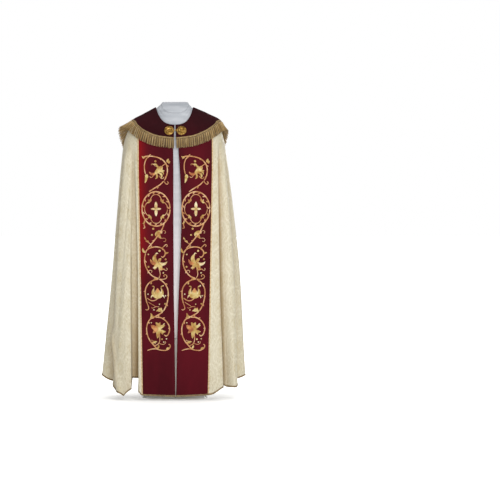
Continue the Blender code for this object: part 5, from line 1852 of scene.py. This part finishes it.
def build_form():
    """Neck, shoulders and long torso as one body, and the cap of the neck."""
    turns = np.linspace(0, 2 * np.pi, FORM_SIDES, endpoint=False)
    neck = slanted_ring(turns, NECK_RADIUS, 0.0)
    neckline = bell(turns, 0 * turns) - bell_normal(turns, 0 * turns) * FORM_INSET
    rings = [slanted_ring(turns, NECK_RADIUS - 1.5, 0.0)]
    for share in np.linspace(0.02, 0.96, NECK_ROWS):
        ruck = RUCK_HEIGHT * np.sin(share * 16 + 2.2 * np.sin(turns * 2 + 0.6)) * np.sin(np.pi * share)
        out = np.stack([-np.sin(turns), -np.cos(turns), 0 * turns], axis=1) * ruck[:, None]
        mixed = neck * (1 - share) + neckline * share
        rings.append(mixed + out - np.array([0, 0, NECK_HOLLOW * np.sin(np.pi * share)]))
    for level in np.linspace(0.0, SHOULDER_END, SHOULDER_ROWS):
        inset = FORM_INSET + FORM_EASE * level
        rings.append(bell(turns, level + 0 * turns) - bell_normal(turns, level + 0 * turns) * inset)
    heights = [row.z for row in TORSO]
    for z in np.linspace(heights[0], heights[-1], TORSO_ROWS):
        half, ahead, behind = (curve(-z, [-h for h in heights], [row[k] for row in TORSO]) for k in (1, 2, 3))
        depth = (ahead * (1 + np.cos(turns)) + behind * (1 - np.cos(turns))) / 2
        rings.append(np.stack([-half * np.sin(turns), -depth * np.cos(turns), z + 0 * turns], axis=-1))
    body = closed_rings("jersey_torso", rings, [JERSEY])
    dress(body, "form_cover", "form_torso")
    edge = [(NECK_RADIUS - 1, SEAM_GAP), (NECK_RADIUS + 0.4, 1.2), (NECK_RADIUS + 0.4, NECK_CAP_THICK - 3)]
    edge += [(NECK_RADIUS - 1.2, NECK_CAP_THICK - 1.0), (NECK_RADIUS - 4, NECK_CAP_THICK)]
    edge += [(NECK_RADIUS * share, NECK_CAP_THICK + 0.2) for share in (0.8, 0.5, 0.2)]
    cap = closed_rings("neck_cap_cover", [slanted_ring(turns, r, lift) for r, lift in edge[::-1]], [JERSEY])
    dress(cap, "form_cover", "form_neck_cap")


build_form()
print("the form ends", min(row.z for row in TORSO), "mm above the floor")

# %% Painted steel stand
def paint_material():
    """White powder coat on steel: orange peel of 2.4 mm, slightly glossy, greyed by scuffs 40 mm wide."""
    made, add, shader = new_material("white_powder_coat", "#F2F1EF", 0.35)
    place = add("TexCoord", output="Object")
    peel = add("TexNoise", {"Vector": place, "Scale": 420.0, "Detail": 2.0})
    scuff = add("TexNoise", {"Vector": place, "Scale": 24.0, "Detail": 6.0})
    share = add("MapRange", (scuff, 0.45, 0.75, 0.0, 0.6))
    tint = add("Mix", {0: share, 6: linear("#F7F6F4"), 7: linear("#E2E0DC")}, 2, data_type="RGBA")
    coat(shader, tint, peel, 0.15, 0.0003)
    return made


PAINT = paint_material()
for name in ("stand_pole", "stand_collar", "stand_base"):
    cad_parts[name].data.materials.clear()
    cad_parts[name].data.materials.append(PAINT)
print("the stand is painted")

# %% [markdown]
# ## Floor and light
# Vestments are shown on white. The floor is one large pale sheet and the surround is white,
# and both are bright enough that no horizon shows. A key lamp from the right front draws the folds, a lamp
# straight ahead reaches into the gap between the fronts, and two more light the shoulders and the back.

# %% Floor
FLOOR_HALF = 40
floor_mesh = bpy.data.meshes.new("floor")
corners = [(x * FLOOR_HALF, y * FLOOR_HALF, 0) for x, y in ((-1, -1), (1, -1), (1, 1), (-1, 1))]
floor_mesh.from_pydata(corners, [], [(0, 1, 2, 3)])
floor = put("floor", floor_mesh)
FLOOR, add, floor_shader = new_material("pale_floor", "#F4F4F2", 0.9, Emission_Color=linear("#FFFFFF"))
away = add("VectorMath.LENGTH", (add("TexCoord", output="Object"),), "Value")
glow = add("MapRange", (away, 0.3, 1.6, 0.4, 1.0))
direct = add("LightPath", output="Is Camera Ray")
shown = add("Math.MULTIPLY", (glow, add("Math.MULTIPLY_ADD", (direct, 0.75, 0.25))))
FLOOR.node_tree.links.new(shown, floor_shader.inputs["Emission Strength"])
floor_mesh.materials.append(FLOOR)
print("the floor is", 2 * FLOOR_HALF, "m wide")

# %% Lights
SURROUND_SEEN, SURROUND_LIGHT = 1.0, 0.38
world = bpy.data.worlds.new("studio")
bpy.context.scene.world = world
world.use_nodes = True
sky = world.node_tree
seen = node(sky, "LightPath", output="Is Camera Ray")
strength = node(sky, "Mix", {0: seen, 2: SURROUND_LIGHT, 3: SURROUND_SEEN})
sky.links.new(strength, sky.nodes["Background"].inputs["Strength"])
sky.nodes["Background"].inputs["Color"].default_value = (1, 1, 1, 1)


GARMENT_MIDDLE = (0.0, 0.0, 0.8)
Lamp = namedtuple("Lamp", "name place size watts")
for lamp in (
    Lamp("key", (0.9, -3.3, 2.5), 1.2, 53.0),
    Lamp("front", (0.0, -6.0, 0.9), 0.7, 88.0),
    Lamp("top", (0.0, 0.3, 4.2), 2.0, 34.0),
    Lamp("back", (1.5, 4.0, 2.2), 2.0, 120.0),
):
    data = bpy.data.lights.new(lamp.name, "AREA")
    data.size, data.energy = lamp.size, lamp.watts
    put(lamp.name, data, lamp.place, GARMENT_MIDDLE)
bpy.context.scene.view_settings.view_transform = "Standard"
print("the garment is lit")

print("declared", len(PANELS) + len(BANDS) + 1, "sheets")
